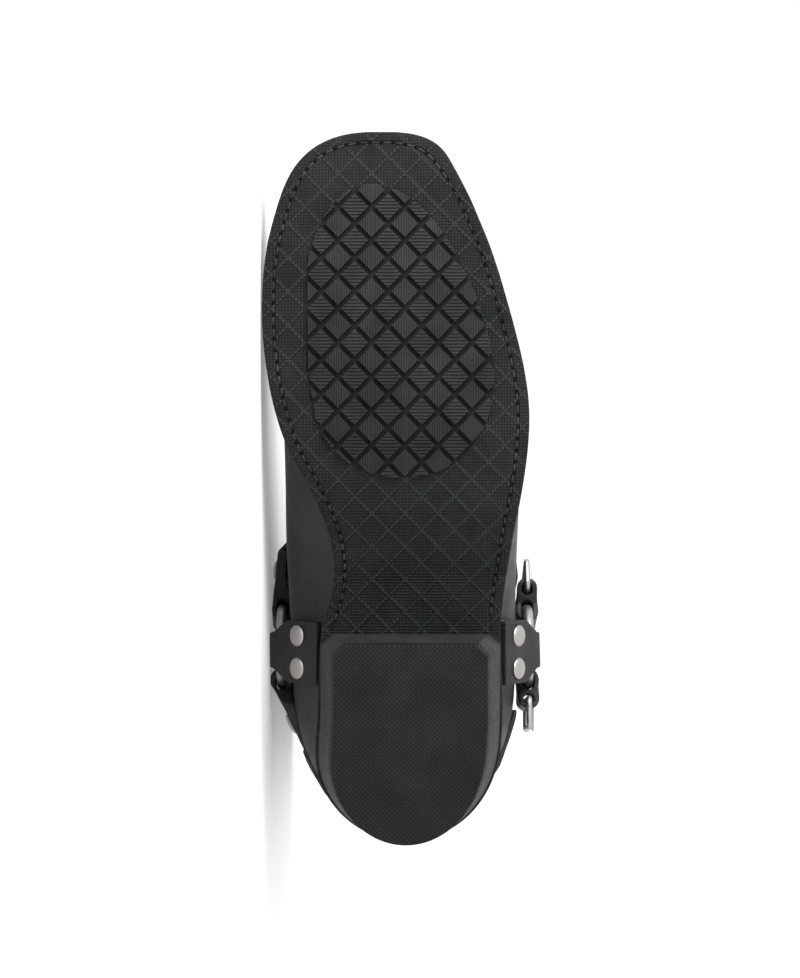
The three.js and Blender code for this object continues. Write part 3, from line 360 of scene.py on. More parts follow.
def crease_depth(p):
    """Height of creases over the plain surface at points of it."""
    rise = np.zeros(p.shape[:-1])
    for side, y0, z0, y1, z1, depth, width in CREASES:
        run = np.array([y1 - y0, z1 - z0], float)
        length = np.linalg.norm(run)
        run /= length
        y, z = p[..., 1] - y0, p[..., 2] - z0
        along = (y * run[0] + z * run[1]) / length
        wander = 1.6 * np.sin(along * 7 + y0)
        off = y * run[1] - z * run[0] + wander
        window = smoothstep(-0.18, 0.12, along) * (1 - smoothstep(0.72, 1.12, along))
        if side:
            window = window * smoothstep(-8, 8, side * p[..., 0])
        trough = -np.exp(-(off / width) ** 2)
        shoulders = 0.45 * np.exp(-((np.abs(off) - 2 * width) / (1.2 * width)) ** 2)
        rise += depth * window * (trough + shoulders)
    y, z, x = p[..., 1], p[..., 2], p[..., 0]
    rise += 0.35 * np.sin(y * 0.045 + z * 0.031) * np.sin(z * 0.052 - x * 0.04) * smoothstep(60, 130, z)
    cover = np.maximum(strap_cover(p, INSTEP_ANGLE), strap_cover(p, HEEL_ANGLE))
    side_strap = (1 - smoothstep(17, 24, np.abs(y - RING_Y))) * (1 - smoothstep(110, 122, z))
    near_sole = smoothstep(4, 16, z - seat_height(np.clip(y, 0, SOLE_LENGTH)))
    return rise * (1 - cover) * (1 - side_strap) * near_sole


def upper_point(place, around, offset=0.0):
    p = plain_point(place, around)
    n = normal_at(place, around)
    return p + n * (crease_depth(p) + offset)[..., None]


def walk(place, around, direction, distance, steps=5):
    """Places reached by walking over the upper from each place, along a direction, for a distance."""
    for _ in range(steps):
        along, across = slopes_at(place, around)
        normal = unit(np.cross(along, across))
        heading = direction - normal * np.sum(direction * normal, axis=-1, keepdims=True)
        heading = unit(heading) * (distance / steps)
        aa, ab, bb = (np.sum(u * v, -1) for u, v in ((along, along), (along, across), (across, across)))
        ra, rb = np.sum(along * heading, -1), np.sum(across * heading, -1)
        det = aa * bb - ab * ab
        place = np.clip(place + (ra * bb - rb * ab) / det, 0, LAST_ROW)
        around = around + (rb * aa - ra * ab) / det
        around = np.where(around > 1, around - 2, np.where(around < -1, around + 2, around))
    return place, around


# Meshes

def add_object(name, data):
    thing = bpy.data.objects.new(name, data)
    bpy.context.scene.collection.objects.link(thing)
    return thing


def to_row(points):
    """Places in the row's frame, in metres, kept off the floor, of points in the boot's own frame."""
    p = np.asarray(points, float).reshape(-1, 3).copy()
    p[:, 0] = np.minimum(p[:, 0], SHIFT[2] - FLOOR_PLAY)
    return np.column_stack([SHIFT[0] - p[:, 1], SHIFT[1] + p[:, 2], SHIFT[2] - p[:, 0]]) * MM


def to_boot(row):
    """The way back, from millimetres in the row's frame."""
    return np.column_stack([SHIFT[2] - row[:, 2], SHIFT[0] - row[:, 0], row[:, 1] - SHIFT[1]])


def add_plan(mesh, plan):
    """Plan coordinates of the vertices, in millimetres, for patterns that follow the sole or a strap."""
    layer = mesh.uv_layers.new(name="plan")
    index = np.zeros(len(mesh.loops), np.int32)
    mesh.loops.foreach_get("vertex_index", index)
    layer.data.foreach_set("uv", plan[index].ravel())


def piece(name, points, faces, material, slot, replaces=(), plan=False, sharp=None):
    mesh = bpy.data.meshes.new(name)
    mesh.from_pydata(to_row(points).tolist(), [], faces if isinstance(faces, list) else faces.tolist())
    mesh.validate()
    if plan:
        add_plan(mesh, points[:, :2])
    dress(name, mesh, material, slot, replaces, sharp)


def dress(name, mesh, material, slot, replaces=(), sharp=None):
    mesh.materials.clear()
    mesh.materials.append(material)
    mesh.shade_smooth()
    if sharp is not None:
        mesh.set_sharp_from_angle(angle=math.radians(sharp))
    thing = add_object(name, mesh)
    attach(thing, "root")
    if replaces:
        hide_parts(*replaces)


def grid_faces(rows, columns, closed=False, flip=False):
    k, j = np.meshgrid(np.arange(rows - 1), np.arange(columns if closed else columns - 1), indexing="ij")
    a = k * columns + j
    b = k * columns + (j + 1) % columns
    faces = np.stack([a, b, b + columns, a + columns], -1).reshape(-1, 4)
    return faces[:, ::-1] if flip else faces


def sweep(path, radius, sides, closed=False):
    """A rod along a path, with one radius or one for each point."""
    path = np.asarray(path, float)
    count = len(path)
    radius = np.broadcast_to(radius, (count,))
    if closed:
        tangent = unit(np.roll(path, -1, 0) - np.roll(path, 1, 0))
    else:
        tangent = unit(np.gradient(path, axis=0))
    guide = np.array([0.31, 0.22, 0.93])
    points = []
    side = unit(np.cross(tangent[0], guide))
    for k in range(count):
        side = unit(side - tangent[k] * np.dot(side, tangent[k]))
        other = np.cross(tangent[k], side)
        turn = np.arange(sides) * 2 * np.pi / sides
        ring = side * np.cos(turn)[:, None] + other * np.sin(turn)[:, None]
        points.append(path[k] + ring * radius[k])
    points = np.concatenate(points)
    faces = grid_faces(count, sides, closed=True).tolist()
    if closed:
        last = (count - 1) * sides
        faces += [[last + j, last + (j + 1) % sides, (j + 1) % sides, j] for j in range(sides)]
    else:
        faces += [list(range(sides))[::-1], [(count - 1) * sides + j for j in range(sides)]]
    return points, faces


def lathe(profile, place, sides=40):
    """Turned form round the frame's second axis, from (radius, height) pairs."""
    turn = np.arange(sides) * 2 * np.pi / sides
    rings = [np.stack([r * np.cos(turn), np.full(sides, h), r * np.sin(turn)], -1) for r, h in profile]
    local = np.concatenate(rings)
    points = local @ place[:3, :3].T + place[:3, 3]
    faces = grid_faces(len(profile), sides, closed=True).tolist()
    return points, faces


def join(parts):
    points, faces, start = [], [], 0
    for p, f in parts:
        points.append(np.asarray(p, float))
        faces += [[i + start for i in face] for face in (f if isinstance(f, list) else f.tolist())]
        start += len(p)
    return np.concatenate(points), faces


def ring_frame(side, degrees):
    turn = math.radians(degrees)
    out = np.array([0, math.cos(turn), math.sin(turn)])
    away = np.array([side, 0, 0], float)
    m = np.eye(4)
    m[:3, 0], m[:3, 1], m[:3, 2] = out, away, np.cross(out, away)
    m[:3, 3] = [RING_X_MEDIAL if side > 0 else -RING_X_LATERAL, RING_Y, RING_Z]
    return m


# Materials

class Shader:
    """A small writer of procedural materials."""

    def __init__(self, name, colour, rough, metal=0.0, coat=0.0, specular=0.5):
        self.material = bpy.data.materials.new(name)
        self.material.use_nodes = True
        self.tree = self.material.node_tree
        self.shade = self.tree.nodes["Principled BSDF"]
        self.set("Base Color", (*colour, 1))
        self.set("Roughness", rough)
        self.set("Metallic", metal)
        self.set("Coat Weight", coat)
        self.set("Coat Roughness", 0.28)
        self.set("Specular IOR Level", specular)
        self.height = None
        self.place = self.node("ShaderNodeTexCoord").outputs["Object"]

    def node(self, kind):
        return self.tree.nodes.new(kind)

    def set(self, socket, value):
        self.feed(self.shade.inputs[socket], value)

    def colour(self):
        return self.shade.inputs["Base Color"].links[0].from_socket

    def feed(self, target, value):
        if hasattr(value, "node"):
            self.tree.links.new(value, target)
        else:
            target.default_value = value

    def calc(self, operation, *values):
        node = self.node("ShaderNodeMath")
        node.operation = operation
        for target, value in zip(node.inputs, values):
            self.feed(target, value)
        return node.outputs[0]

    def noise(self, scale, detail, rough=0.55):
        node = self.node("ShaderNodeTexNoise")
        self.feed(node.inputs["Vector"], self.place)
        for socket, value in (("Scale", scale), ("Detail", detail), ("Roughness", rough)):
            node.inputs[socket].default_value = value
        return node.outputs["Fac"]

    def cells(self, scale):
        node = self.node("ShaderNodeTexVoronoi")
        node.feature = "DISTANCE_TO_EDGE"
        self.feed(node.inputs["Vector"], self.place)
        node.inputs["Scale"].default_value = scale
        return node.outputs["Distance"]

    def span(self, value, low, high, to_low=0.0, to_high=1.0):
        node = self.node("ShaderNodeMapRange")
        for target, v in zip(list(node.inputs)[:5], (value, low, high, to_low, to_high)):
            self.feed(target, v)
        return node.outputs[0]

    def tint(self, share, low, high):
        node = self.node("ShaderNodeMix")
        node.data_type = "RGBA"
        self.feed(node.inputs[0], share)
        for target, value in zip(list(node.inputs)[6:8], (low, high)):
            self.feed(target, value if hasattr(value, "node") else (*value, 1))
        return node.outputs[2]

    def bump(self, height, distance, strength=1.0):
        node = self.node("ShaderNodeBump")
        node.inputs["Strength"].default_value = strength
        node.inputs["Distance"].default_value = distance
        self.feed(node.inputs["Height"], height)
        if self.height is not None:
            self.tree.links.new(self.height, node.inputs["Normal"])
        self.height = node.outputs[0]
        self.set("Normal", self.height)

    def plan(self):
        node = self.node("ShaderNodeUVMap")
        node.uv_map = "plan"
        split = self.node("ShaderNodeSeparateXYZ")
        self.tree.links.new(node.outputs[0], split.inputs[0])
        return split.outputs[0], split.outputs[1]

    def wave(self, value, pitch):
        """0 to 1 and back over each pitch."""
        return self.calc("PINGPONG", self.calc("MULTIPLY", value, 2 / pitch), 1)


def leather(name, dark, light, rough, grain=1500, coat=0.05):
    s = Shader(name, dark, rough, coat=coat, specular=0.3)
    patches = s.noise(34, 4)
    s.set("Base Color", s.tint(s.span(patches, 0.35, 0.7), dark, light))
    worn = s.noise(140, 5, 0.6)
    s.set("Roughness", s.span(worn, 0.3, 0.7, rough - 0.07, rough + 0.12))
    s.bump(s.span(s.cells(grain), 0.0, 0.28), 0.00012, 0.55)
    s.bump(s.noise(420, 5, 0.65), 0.00035, 0.45)
    return s.material


def rubber(name, dark, light, rough):
    s = Shader(name, dark, rough, specular=0.14)
    s.set("Base Color", s.tint(s.span(s.noise(60, 4), 0.35, 0.7), dark, light))
    s.set("Roughness", s.span(s.noise(220, 4), 0.3, 0.7, rough - 0.06, rough + 0.1))
    s.bump(s.noise(1800, 4, 0.7), 0.00012, 0.5)
    return s


def metal(name, colour, rough):
    s = Shader(name, colour, rough, metal=1.0)
    s.set("Roughness", s.span(s.noise(260, 4), 0.3, 0.75, rough - 0.06, rough + 0.14))
    s.bump(s.noise(900, 3), 0.00005, 0.3)
    return s.material


def sole_rubber(name, dark, light, lines):
    """Rubber with a fine crosshatch and, where asked, raised lines in the tread's diamonds; the ridges of
    both are tinted lighter as a painted highlight.
    """
    s = rubber(name, dark, light, 0.62)
    u, v = s.plan()
    first = u if lines else s.calc("ADD", u, v)
    second = v if lines else s.calc("SUBTRACT", u, v)
    pitch = FIELD_HATCH if lines else HATCH
    hatch = s.calc("POWER", s.calc("MAXIMUM", s.wave(first, pitch), s.wave(second, pitch)), 2.5)
    s.bump(hatch, 0.0005, 1.0)
    # Crosshatch ridges lighter, hollows darker: painted highlight and painted shade following the bump's
    # height
    s.set("Base Color", s.tint(s.calc("MULTIPLY", hatch, 0.5), s.colour(), light))
    if lines:
        du = s.calc("DIVIDE", s.calc("SUBTRACT", u, LUG_X), LUG_WIDE)
        dv = s.calc("DIVIDE", s.calc("SUBTRACT", v, LUG_Y), LUG_LONG)
        rising, falling = s.calc("ADD", du, dv), s.calc("SUBTRACT", du, dv)
        near = s.calc("MAXIMUM", s.wave(rising, 1), s.wave(falling, 1))
        raised = s.span(near, 0.82, 0.9)
        s.bump(raised, 0.0007, 1.0)
        # Raised diamond lines tinted lighter still: painted highlight on the ridges
        s.set("Base Color", s.tint(raised, s.colour(), tuple(c * 1.3 for c in light)))
    return s.material


BLACK_LEATHER = leather("black_leather", (0.015, 0.015, 0.015), (0.026, 0.0256, 0.0256), 0.40)
STRAP_LEATHER = leather("strap_leather", (0.0075, 0.0077, 0.0075), (0.0135, 0.0135, 0.0135), 0.45, 1700)
WELT_LEATHER = leather("welt_leather", (0.014, 0.014, 0.014), (0.024, 0.0235, 0.0235), 0.5, 2100, 0.05)
LINING_LEATHER = leather("insole_leather", (0.23, 0.15, 0.09), (0.33, 0.23, 0.14), 0.62, 1300, 0.0)
SHANK_RUBBER = sole_rubber("shank_rubber", (0.007, 0.0075, 0.0072), (0.016, 0.017, 0.0165), True)
SIDE_RUBBER = rubber("side_rubber", (0.020, 0.020, 0.020), (0.031, 0.031, 0.031), 0.6).material
LIFT_RUBBER = sole_rubber("lift_rubber", (0.0065, 0.0068, 0.0065), (0.0125, 0.013, 0.0125), False)
# Near-black rubber for the ground between the lugs: painted shade of the grooves
GROOVE_SHADE_RUBBER = rubber("groove_shade_rubber", (0.004, 0.0044, 0.0042), (0.008, 0.0088, 0.0084), 0.8).material
LUG_RUBBER = rubber("lug_rubber", (0.013, 0.014, 0.0137), (0.023, 0.0245, 0.024), 0.55).material
# Near-black for the flat stitch-hole discs: painted shade of the holes' depth
HOLE_SHADE = rubber("hole_shade", (0.0006, 0.0006, 0.0006), (0.0012, 0.0012, 0.0012), 0.95).material
NICKEL = metal("nickel", (0.43, 0.415, 0.40), 0.4)
THREAD = rubber("thread", (0.016, 0.016, 0.016), (0.05, 0.05, 0.048), 0.55).material


# Upper: one sheet that rolls over the collar and comes down inside, so the wall shows its thickness

def build_upper():
    rows, columns, inner_rows = 330, 216, 70
    tip, sink = 2.5, np.array([0, 0, 0.8])
    even = np.linspace(0, LAST_ROW, rows)
    place = np.where(even < tip, (even / tip) ** 1.25 * tip, even)
    around = np.linspace(-1, 1, columns)
    outer = upper_point(*np.meshgrid(place, around, indexing="ij"))
    normal = normal_at(np.full(columns, float(LAST_ROW)), around)
    rim = []
    for turn in np.linspace(0, math.pi, 9)[1:-1]:
        inward = LEATHER_WALL / 2 * (1 - math.cos(turn))
        lift = LEATHER_WALL / 2 * math.sin(turn) * 0.7
        rim.append(outer[-1] - normal * inward + np.array([0, 0, lift]) - sink)
    outer[-1] -= sink
    inner_place = np.linspace(LAST_ROW, 0.35, inner_rows)
    inner = upper_point(*np.meshgrid(inner_place, around, indexing="ij"), -LEATHER_WALL)
    inner[0] -= sink
    points = np.concatenate([outer, np.stack(rim), inner])
    joined = rows * CORNER_ROW // LAST_ROW + 1
    points[joined:, -1] = points[joined:, 0]
    count = len(points)
    faces = grid_faces(count, columns).tolist()
    faces.append(list(range(columns))[::-1])
    faces.append([(count - 1) * columns + j for j in range(columns)])
    piece("boot_upper", points, faces, BLACK_LEATHER, "black_leather", ["upper"])


def left_of(place, around):
    """The way to the left of a line over the upper."""
    tangent = unit(np.gradient(upper_point(place, around), axis=0))
    return np.cross(normal_at(place, around), tangent)


def ribbon(name, place, around, widths, lifts):
    """A band of the upper's skin along a line, with a lift for each step of its width to the left."""
    left = left_of(place, around)
    rows = []
    for width, lift in zip(widths, lifts):
        p, a = walk(place, around, left * np.sign(width or 1), abs(width)) if width else (place, around)
        rows.append(upper_point(p, a, lift))
    piece(name, np.stack(rows), grid_faces(len(widths), len(place)), BLACK_LEATHER, "black_leather")


def stitch_line(name, place, around, aside, lift):
    """Short threads that follow a line over the upper, moved to its left."""
    p, a = walk(place, around, left_of(place, around) * np.sign(aside), abs(aside))
    path = upper_point(p, a, lift)
    threads(name, path, normal_at(p, a), UPPER_PITCH, UPPER_STITCH, 0.32)


def run_along(path):
    return np.concatenate([[0], np.cumsum(np.linalg.norm(np.diff(path, axis=0), axis=1))])


def threads(name, path, normal, pitch, length, radius, slot="black_leather"):
    run = run_along(path)
    parts = []
    for start in np.arange(pitch / 2, run[-1] - pitch, pitch):
        at = start + np.linspace(0, length, 5)
        line = np.stack([np.interp(at, run, path[:, c]) for c in range(3)], -1)
        up = np.stack([np.interp(at, run, normal[:, c]) for c in range(3)], -1)
        sag = np.array([-1.6, 0.15, 0.35, 0.15, -1.6])[:, None] * radius
        parts.append(sweep(line + up * sag, radius, 6))
    piece(name, *join(parts), THREAD, slot)


def side_line(side, keys, count=160):
    """Places and arounds along a line through (y, z) points of one side of the upper."""
    keys = np.array(keys, float)
    t = np.linspace(0, len(keys) - 1, count)
    target = np.stack([smooth_column(keys[:, 0], t), smooth_column(keys[:, 1], t)], -1)
    rows, columns = np.linspace(0.3, LAST_ROW, 190), side * np.linspace(0.02, 0.995, 110)
    p, a = np.meshgrid(rows, columns, indexing="ij")
    grid = plain_point(p, a)[..., 1:]
    place, around = [], []
    for goal in target:
        k = np.argmin(np.sum((grid - goal) ** 2, -1))
        place.append(p.flat[k])
        around.append(a.flat[k])
    place, around = np.array(place), np.array(around)
    for _ in range(8):
        along, across = (s[:, 1:] for s in slopes_at(place, around))
        miss = target - plain_point(place, around)[:, 1:]
        det = along[:, 0] * across[:, 1] - along[:, 1] * across[:, 0]
        det = np.where(np.abs(det) < 1e-2, 1e9, det)
        onward = 0.7 * (miss[:, 0] * across[:, 1] - miss[:, 1] * across[:, 0]) / det
        sideways = 0.7 * (miss[:, 1] * along[:, 0] - miss[:, 0] * along[:, 1]) / det
        place = np.clip(place + onward, 0, LAST_ROW)
        around = side * np.clip(side * (around + sideways), 0.005, 0.998)
    return place, around


# Sole plan: loops that follow the outline at an inset

def loop(inset, count=420):
    turn = np.linspace(0, np.pi, count // 2)
    share = mix(turn / np.pi, (1 - np.cos(turn)) / 2, LOOP_EVEN)
    y = mix(inset + END_FLAT, SOLE_LENGTH - inset - END_FLAT, share)
    centre, half, heel, toe = outline_at(y, inset)
    medial = np.stack([centre + half * heel * toe, y], -1)
    lateral = np.stack([centre - half * heel * toe, y], -1)
    return np.concatenate([medial, lateral[::-1]])


def stack_loops(surface, profile, plan=loop):
    """Loops at the insets of a profile, each at its rise over a surface."""
    loops = [(plan(inset), rise) for inset, rise in profile]
    return [np.column_stack([ring, surface(ring[:, 1]) + rise]) for ring, rise in loops]


def plate(name, rings, material, slot, replaces, sharp=None, plan=True):
    """A solid from stacked loops, closed at both ends by strips between its two sides."""
    count = len(rings[0])
    faces = grid_faces(len(rings), count, closed=True).tolist()
    half, columns = count // 2, 26
    share = np.linspace(0, 1, columns)[1:-1]
    parts, start = list(rings), len(rings) * count
    for end, flip in ((0, True), (len(rings) - 1, False)):
        medial, lateral = rings[end][:half], rings[end][half:][::-1]
        inner = medial[:, None] * (1 - share[None, :, None]) + lateral[:, None] * share[None, :, None]
        inner_index = start + np.arange(half * (columns - 2)).reshape(half, columns - 2)
        start += half * (columns - 2)
        parts.append(inner.reshape(-1, 3))
        left = end * count + np.arange(half)
        right = end * count + count - 1 - np.arange(half)
        table = np.column_stack([left, inner_index, right])
        quads = np.stack([table[:-1, :-1], table[1:, :-1], table[1:, 1:], table[:-1, 1:]], -1)
        faces += (quads[..., ::-1] if flip else quads).reshape(-1, 4).tolist()
    points = np.concatenate(parts)
    piece(name, points, faces, material, slot, replaces, plan, sharp=sharp)


# Edges of the slab and the welt: pairs of inset and rise over the lower or the upper surface
SOLE_FOOT = (
    (14, 0), (6.4, 0), (5.7, 0.05), (5.2, 0.55), (4.5, 0.6), (4.0, 0.05), (3.3, 0), (1.3, 0),
    (0.55, 0.12), (0.15, 0.5), (0.0, 1.1),
)
SOLE_EDGE = ((0.0, -0.9), (0.15, -0.35), (0.6, 0.0), (6.0, 0.0))


def build_outsole():
    rings = stack_loops(slab_bottom, SOLE_FOOT) + stack_loops(slab_top, SOLE_EDGE)
    plate("sole_slab", rings, SHANK_RUBBER, "black_rubber", ["outsole"], sharp=48)


def clip(polygon, point, normal):
    """Part of a plan polygon on the side of a line that its normal points away from."""
    out = []
    for i in range(len(polygon)):
        a, b = polygon[i], polygon[(i + 1) % len(polygon)]
        da, db = np.dot(a - point, normal), np.dot(b - point, normal)
        if da <= 0:
            out.append(a)
        if (da < 0 < db) or (db < 0 < da):
            out.append(a + (b - a) * (da / (da - db)))
    return out


def insert_at(swing):
    """Middle, half width and place along the sole, for a swing from 1 at the toe to -1 at the heel."""
    power = np.where(swing > 0, INSERT_TOE_POWER, INSERT_HEEL_POWER)
    half = INSERT_WIDTH / 2 * np.maximum(1 - np.abs(swing) ** power, 0) ** (1 / power)
    y = INSERT_Y + np.where(swing > 0, INSERT_TOE_REACH, INSERT_HEEL_REACH) * swing
    return INSERT_X + np.maximum(y - INSERT_Y, 0) * INSERT_SKEW, half, y


def insert_outline(steps=60):
    points = []
    for side in (1, -1):
        middle, half, y = insert_at(side * np.cos(np.pi * np.arange(steps) / steps))
        points.append(np.column_stack([middle - side * half, y]))
    return np.concatenate(points)


def signed_area(polygon):
    p = np.array(polygon)
    return np.sum(p[:, 0] * np.roll(p[:, 1], -1) - p[:, 1] * np.roll(p[:, 0], -1)) / 2


def prism(polygon, low, high, bevel):
    """A raised block over a plan polygon, its top edge cut back a little."""
    polygon = np.array(polygon)
    if signed_area(polygon) > 0:
        polygon = polygon[::-1]
    middle = polygon.mean(0)
    reach = max(np.linalg.norm(polygon - middle, axis=1).max(), 1e-6)
    inner = middle + (polygon - middle) * (1 - bevel / reach)
    ground = slab_bottom(polygon[:, 1]) - LUG_DEPTH
    inner_ground = slab_bottom(inner[:, 1]) - LUG_DEPTH
    rings = [np.column_stack([polygon, ground + low]), np.column_stack([polygon, ground + high + bevel]),
             np.column_stack([inner, inner_ground + high])]
    count = len(polygon)
    faces = grid_faces(3, count, closed=True).tolist() + [[2 * count + j for j in range(count)]]
    return np.concatenate(rings), faces


def inside_insert(polygon, outline, turn):
    for a, b in zip(outline, np.roll(outline, -1, 0)):
        edge = b - a
        if np.linalg.norm(edge) < 1e-6 or len(polygon) < 3:
            continue
        polygon = clip(polygon, a, np.array([edge[1], -edge[0]]) * turn)
    return polygon


def build_lugs():
    """Diamond lugs cut off at the insert's edge. Rows with flat and with upright ribs take turns."""
    cell = LUG_WIDE * LUG_LONG / math.hypot(LUG_WIDE, LUG_LONG)
    share = (cell - LUG_GROOVE) / cell
    outline = insert_outline()
    turn = 1 if signed_area(outline) > 0 else -1
    corners = [(LUG_WIDE / 2, 0), (0, LUG_LONG / 2), (-LUG_WIDE / 2, 0), (0, -LUG_LONG / 2)]
    least_lug, least_rib = 5, 0.5
    parts = []
    for row in range(-12, 13):
        y = LUG_Y + row * LUG_LONG / 2
        across = np.array([0.0, 1.0]) if row % 2 else np.array([1.0, 0.0])
        pitch = RIBS_FLAT if row % 2 else RIBS_UPRIGHT
        for column in range(-8, 9):
            x = LUG_X + (column + (row % 2) / 2) * LUG_WIDE
            polygon = [np.array([x + dx * share, y + dy * share]) for dx, dy in corners]
            polygon = inside_insert(polygon, outline, turn)
            if len(polygon) < 3 or abs(signed_area(polygon)) < least_lug:
                continue
            parts.append(prism(polygon, LUG_FOOT, LUG_FACE, LUG_BEVEL))
            for k in range(-7, 8):
                middle = np.array([x, y]) + across * k * pitch
                strip = clip(polygon, middle + across * pitch / 4, across)
                strip = clip(strip, middle - across * pitch / 4, -across) if len(strip) > 2 else strip
                if len(strip) > 2 and abs(signed_area(strip)) > least_rib:
                    parts.append(prism(strip, RIB_FOOT, 0.0, RIB_BEVEL))
    points, faces = join(parts)
    piece("tread_lugs", points, faces, LUG_RUBBER, "black_rubber", plan=True, sharp=30)


def insert_floor():
    """Ground between the lugs, a little proud of the slab, in near-black rubber: painted shade of the
    grooves.
    """
    rows, columns = 90, 24
    middle, half, y = insert_at(np.cos(np.linspace(0, np.pi, rows)))
    x = middle[:, None] + half[:, None] * np.linspace(-1, 1, columns)
    y = np.repeat(y[:, None], columns, 1)
    points = np.stack([x, y, slab_bottom(y) - 0.12], -1).reshape(-1, 3)
    faces = grid_faces(rows, columns)
    piece("tread_floor", points, faces, GROOVE_SHADE_RUBBER, "black_rubber", plan=True)


def sole_stitches():
    plan = loop(SOLE_STITCH_IN, 2000)
    plan = plan[plan[:, 1] > BREAST_Y + 3]
    on_medial = plan[:, 0] > outline_at(plan[:, 1], 0)[0]
    medial, lateral = plan[on_medial], plan[~on_medial]
    medial = medial[np.argsort(medial[:, 1])]
    lateral = lateral[np.argsort(-lateral[:, 1])]
    plan = np.concatenate([medial, lateral])
    path = np.column_stack([plan, slab_bottom(plan[:, 1]) + 0.35])
    normal = np.tile([0, 0, -1.0], (len(path), 1))
    stitch_holes(path)
    threads("sole_stitches", path, normal, SOLE_STITCH_PITCH, SOLE_STITCH, 0.4, "black_rubber")


def stitch_holes(path, sides=8):
    """A flat near-black disc between each two stitches: painted shade standing in for the depth of a stitch
    hole.
    """
    run = run_along(path)
    turn = np.linspace(0, 2 * np.pi, sides + 1)[:-1]
    points, faces = [], []
    gap = SOLE_STITCH_PITCH - SOLE_STITCH
    for at in np.arange(1.5 * SOLE_STITCH_PITCH, run[-1] - SOLE_STITCH_PITCH, SOLE_STITCH_PITCH):
        x, y = (np.interp(at - gap / 2, run, path[:, c]) for c in (0, 1))
        ring = np.column_stack([x + HOLE_RADIUS * np.cos(turn), y + HOLE_RADIUS * np.sin(turn)])
        faces.append([len(points) * sides + k for k in range(sides)][::-1])
        points.append(np.column_stack([ring, slab_bottom(ring[:, 1]) - 0.1]))
    points = np.concatenate(points)
    piece("stitch_holes", points, faces, HOLE_SHADE, "black_rubber", plan=True)


WELT_FOOT = ((9, 0), (1.2, 0.0), (0.75, 0.25), (WELT_TRIM, 0.7))
WELT_TOP = (
    (WELT_TRIM, -0.8), (0.8, -0.3), (1.3, 0.0), (3.2, 0.0), (3.5, -0.3), (4.0, -0.3), (4.3, 0.0),
    (8.5, 0.0),
)


def build_welt():
    rings = stack_loops(lambda y: slab_top(y) + THIN_GAP, WELT_FOOT)
    rings += stack_loops(lambda y: slab_top(y) + GAP + WELT_THICK, WELT_TOP)
    points = np.concatenate(rings)
    faces = grid_faces(len(rings), len(rings[0]), closed=True)
    piece("welt_strip", points, faces, WELT_LEATHER, "black_leather", ["welt"], plan=True, sharp=50)


def heel_ring(z, inset=0.0, steps=70):
    drop = (HEEL_HEIGHT - z) / HEEL_HEIGHT
    back = HEEL_TRIM + HEEL_BACK_TAPER * drop + inset
    front = BREAST_Y - BREAST_LEAN * drop - inset
    seat_half = float(outline_at(np.array([BREAST_Y / 2]), 0)[1][0])
    half = seat_half - HEEL_TRIM - HEEL_TAPER * drop - inset
    turn = np.linspace(1, 0, steps)
    y = back + (HEEL_ROUND - back) * (1 - np.cos(turn * np.pi / 2))
    width = half * round_end(y - back, HEEL_ROUND - back, 2)
    straight = np.linspace(front - CORNER_CUT, HEEL_ROUND, 12)[1:-1]
    medial = [[half - CORNER_CUT, front], [half, front - CORNER_CUT]]
    medial += [[half, v] for v in straight]
    medial += [[w, v] for w, v in zip(width, y)]
    side = np.array(medial)
    other = side[::-1].copy()
    other[:, 0] *= -1
    side[:, 0] += outline_at(side[:, 1], 0)[0]
    other[:, 0] += outline_at(other[:, 1], 0)[0]
    return np.column_stack([np.concatenate([side, other[1:]]), np.full(2 * len(side) - 1, z)])


def heel_body(name, levels, material, replaces, sharp=35):
    rings = [heel_ring(z, inset) for z, inset in levels]
    for ring in rings:
        if ring[0, 2] > HEEL_HEIGHT - 2:
            ring[:, 2] = slab_bottom(ring[:, 1]) - THIN_GAP
    count = len(rings[0])
    points = np.concatenate(rings)
    faces = grid_faces(len(rings), count, closed=True, flip=True).tolist()
    faces.append(list(range(count)))
    faces.append([(len(rings) - 1) * count + j for j in range(count)][::-1])
    piece(name, points, faces, material, "black_rubber", replaces, plan=True, sharp=sharp)


def build_heel():
    levels = [(0, 1.0), (0.12, 0.45), (0.5, 0.1), (1.0, 0)]
    levels += [(z, 0) for z in (3, 5, 7)] + [(LIFT_THICK - 0.25, 0.05), (LIFT_THICK, 0.35)]
    heel_body("lift", levels, LIFT_RUBBER, ["heel_lift"])
    levels = [(LIFT_THICK + 0.05, 0.35), (LIFT_THICK + 0.3, 0.05)]
    levels += [(z, 0) for z in (14, 22, 30, 36, HEEL_HEIGHT - 1.5)]
    heel_body("heel_block", levels, SIDE_RUBBER, ["heel_stack"])


def build_insole():
    profile = ((5.4, 0.2), (4.9, 0.8), (4.9, 3.2), (5.4, 3.9), (6.4, INSOLE_THICK))
    rings = stack_loops(seat_height, profile, insole_loop)
    plate("footbed", rings, LINING_LEATHER, "insole_leather", ["insole"], plan=False)


def insole_loop(inset):
    """The sole's loop drawn in to the inside of the upper."""
    plan = loop(inset)
    shift = upper_inset(plan[:, 1]) - SEAT_SHOW
    centre, half, heel, toe = outline_at(plan[:, 1], inset)
    side = np.sign(plan[:, 0] - centre)
    plan[:, 0] -= side * np.minimum(shift, half * heel * toe * 0.6)
    plan[:, 1] = mix(plan[:, 1], plan[:, 1] - 4.5, smoothstep(240, SOLE_LENGTH, plan[:, 1]))
    return plan


# Harness: soft copies of the CAD straps, with rounded edges and a creased line along each side

def read_vectors(mesh, what):
    values = np.zeros(len(mesh.vertices) * 3)
    mesh.vertices.foreach_get(what, values)
    return values.reshape(-1, 3)


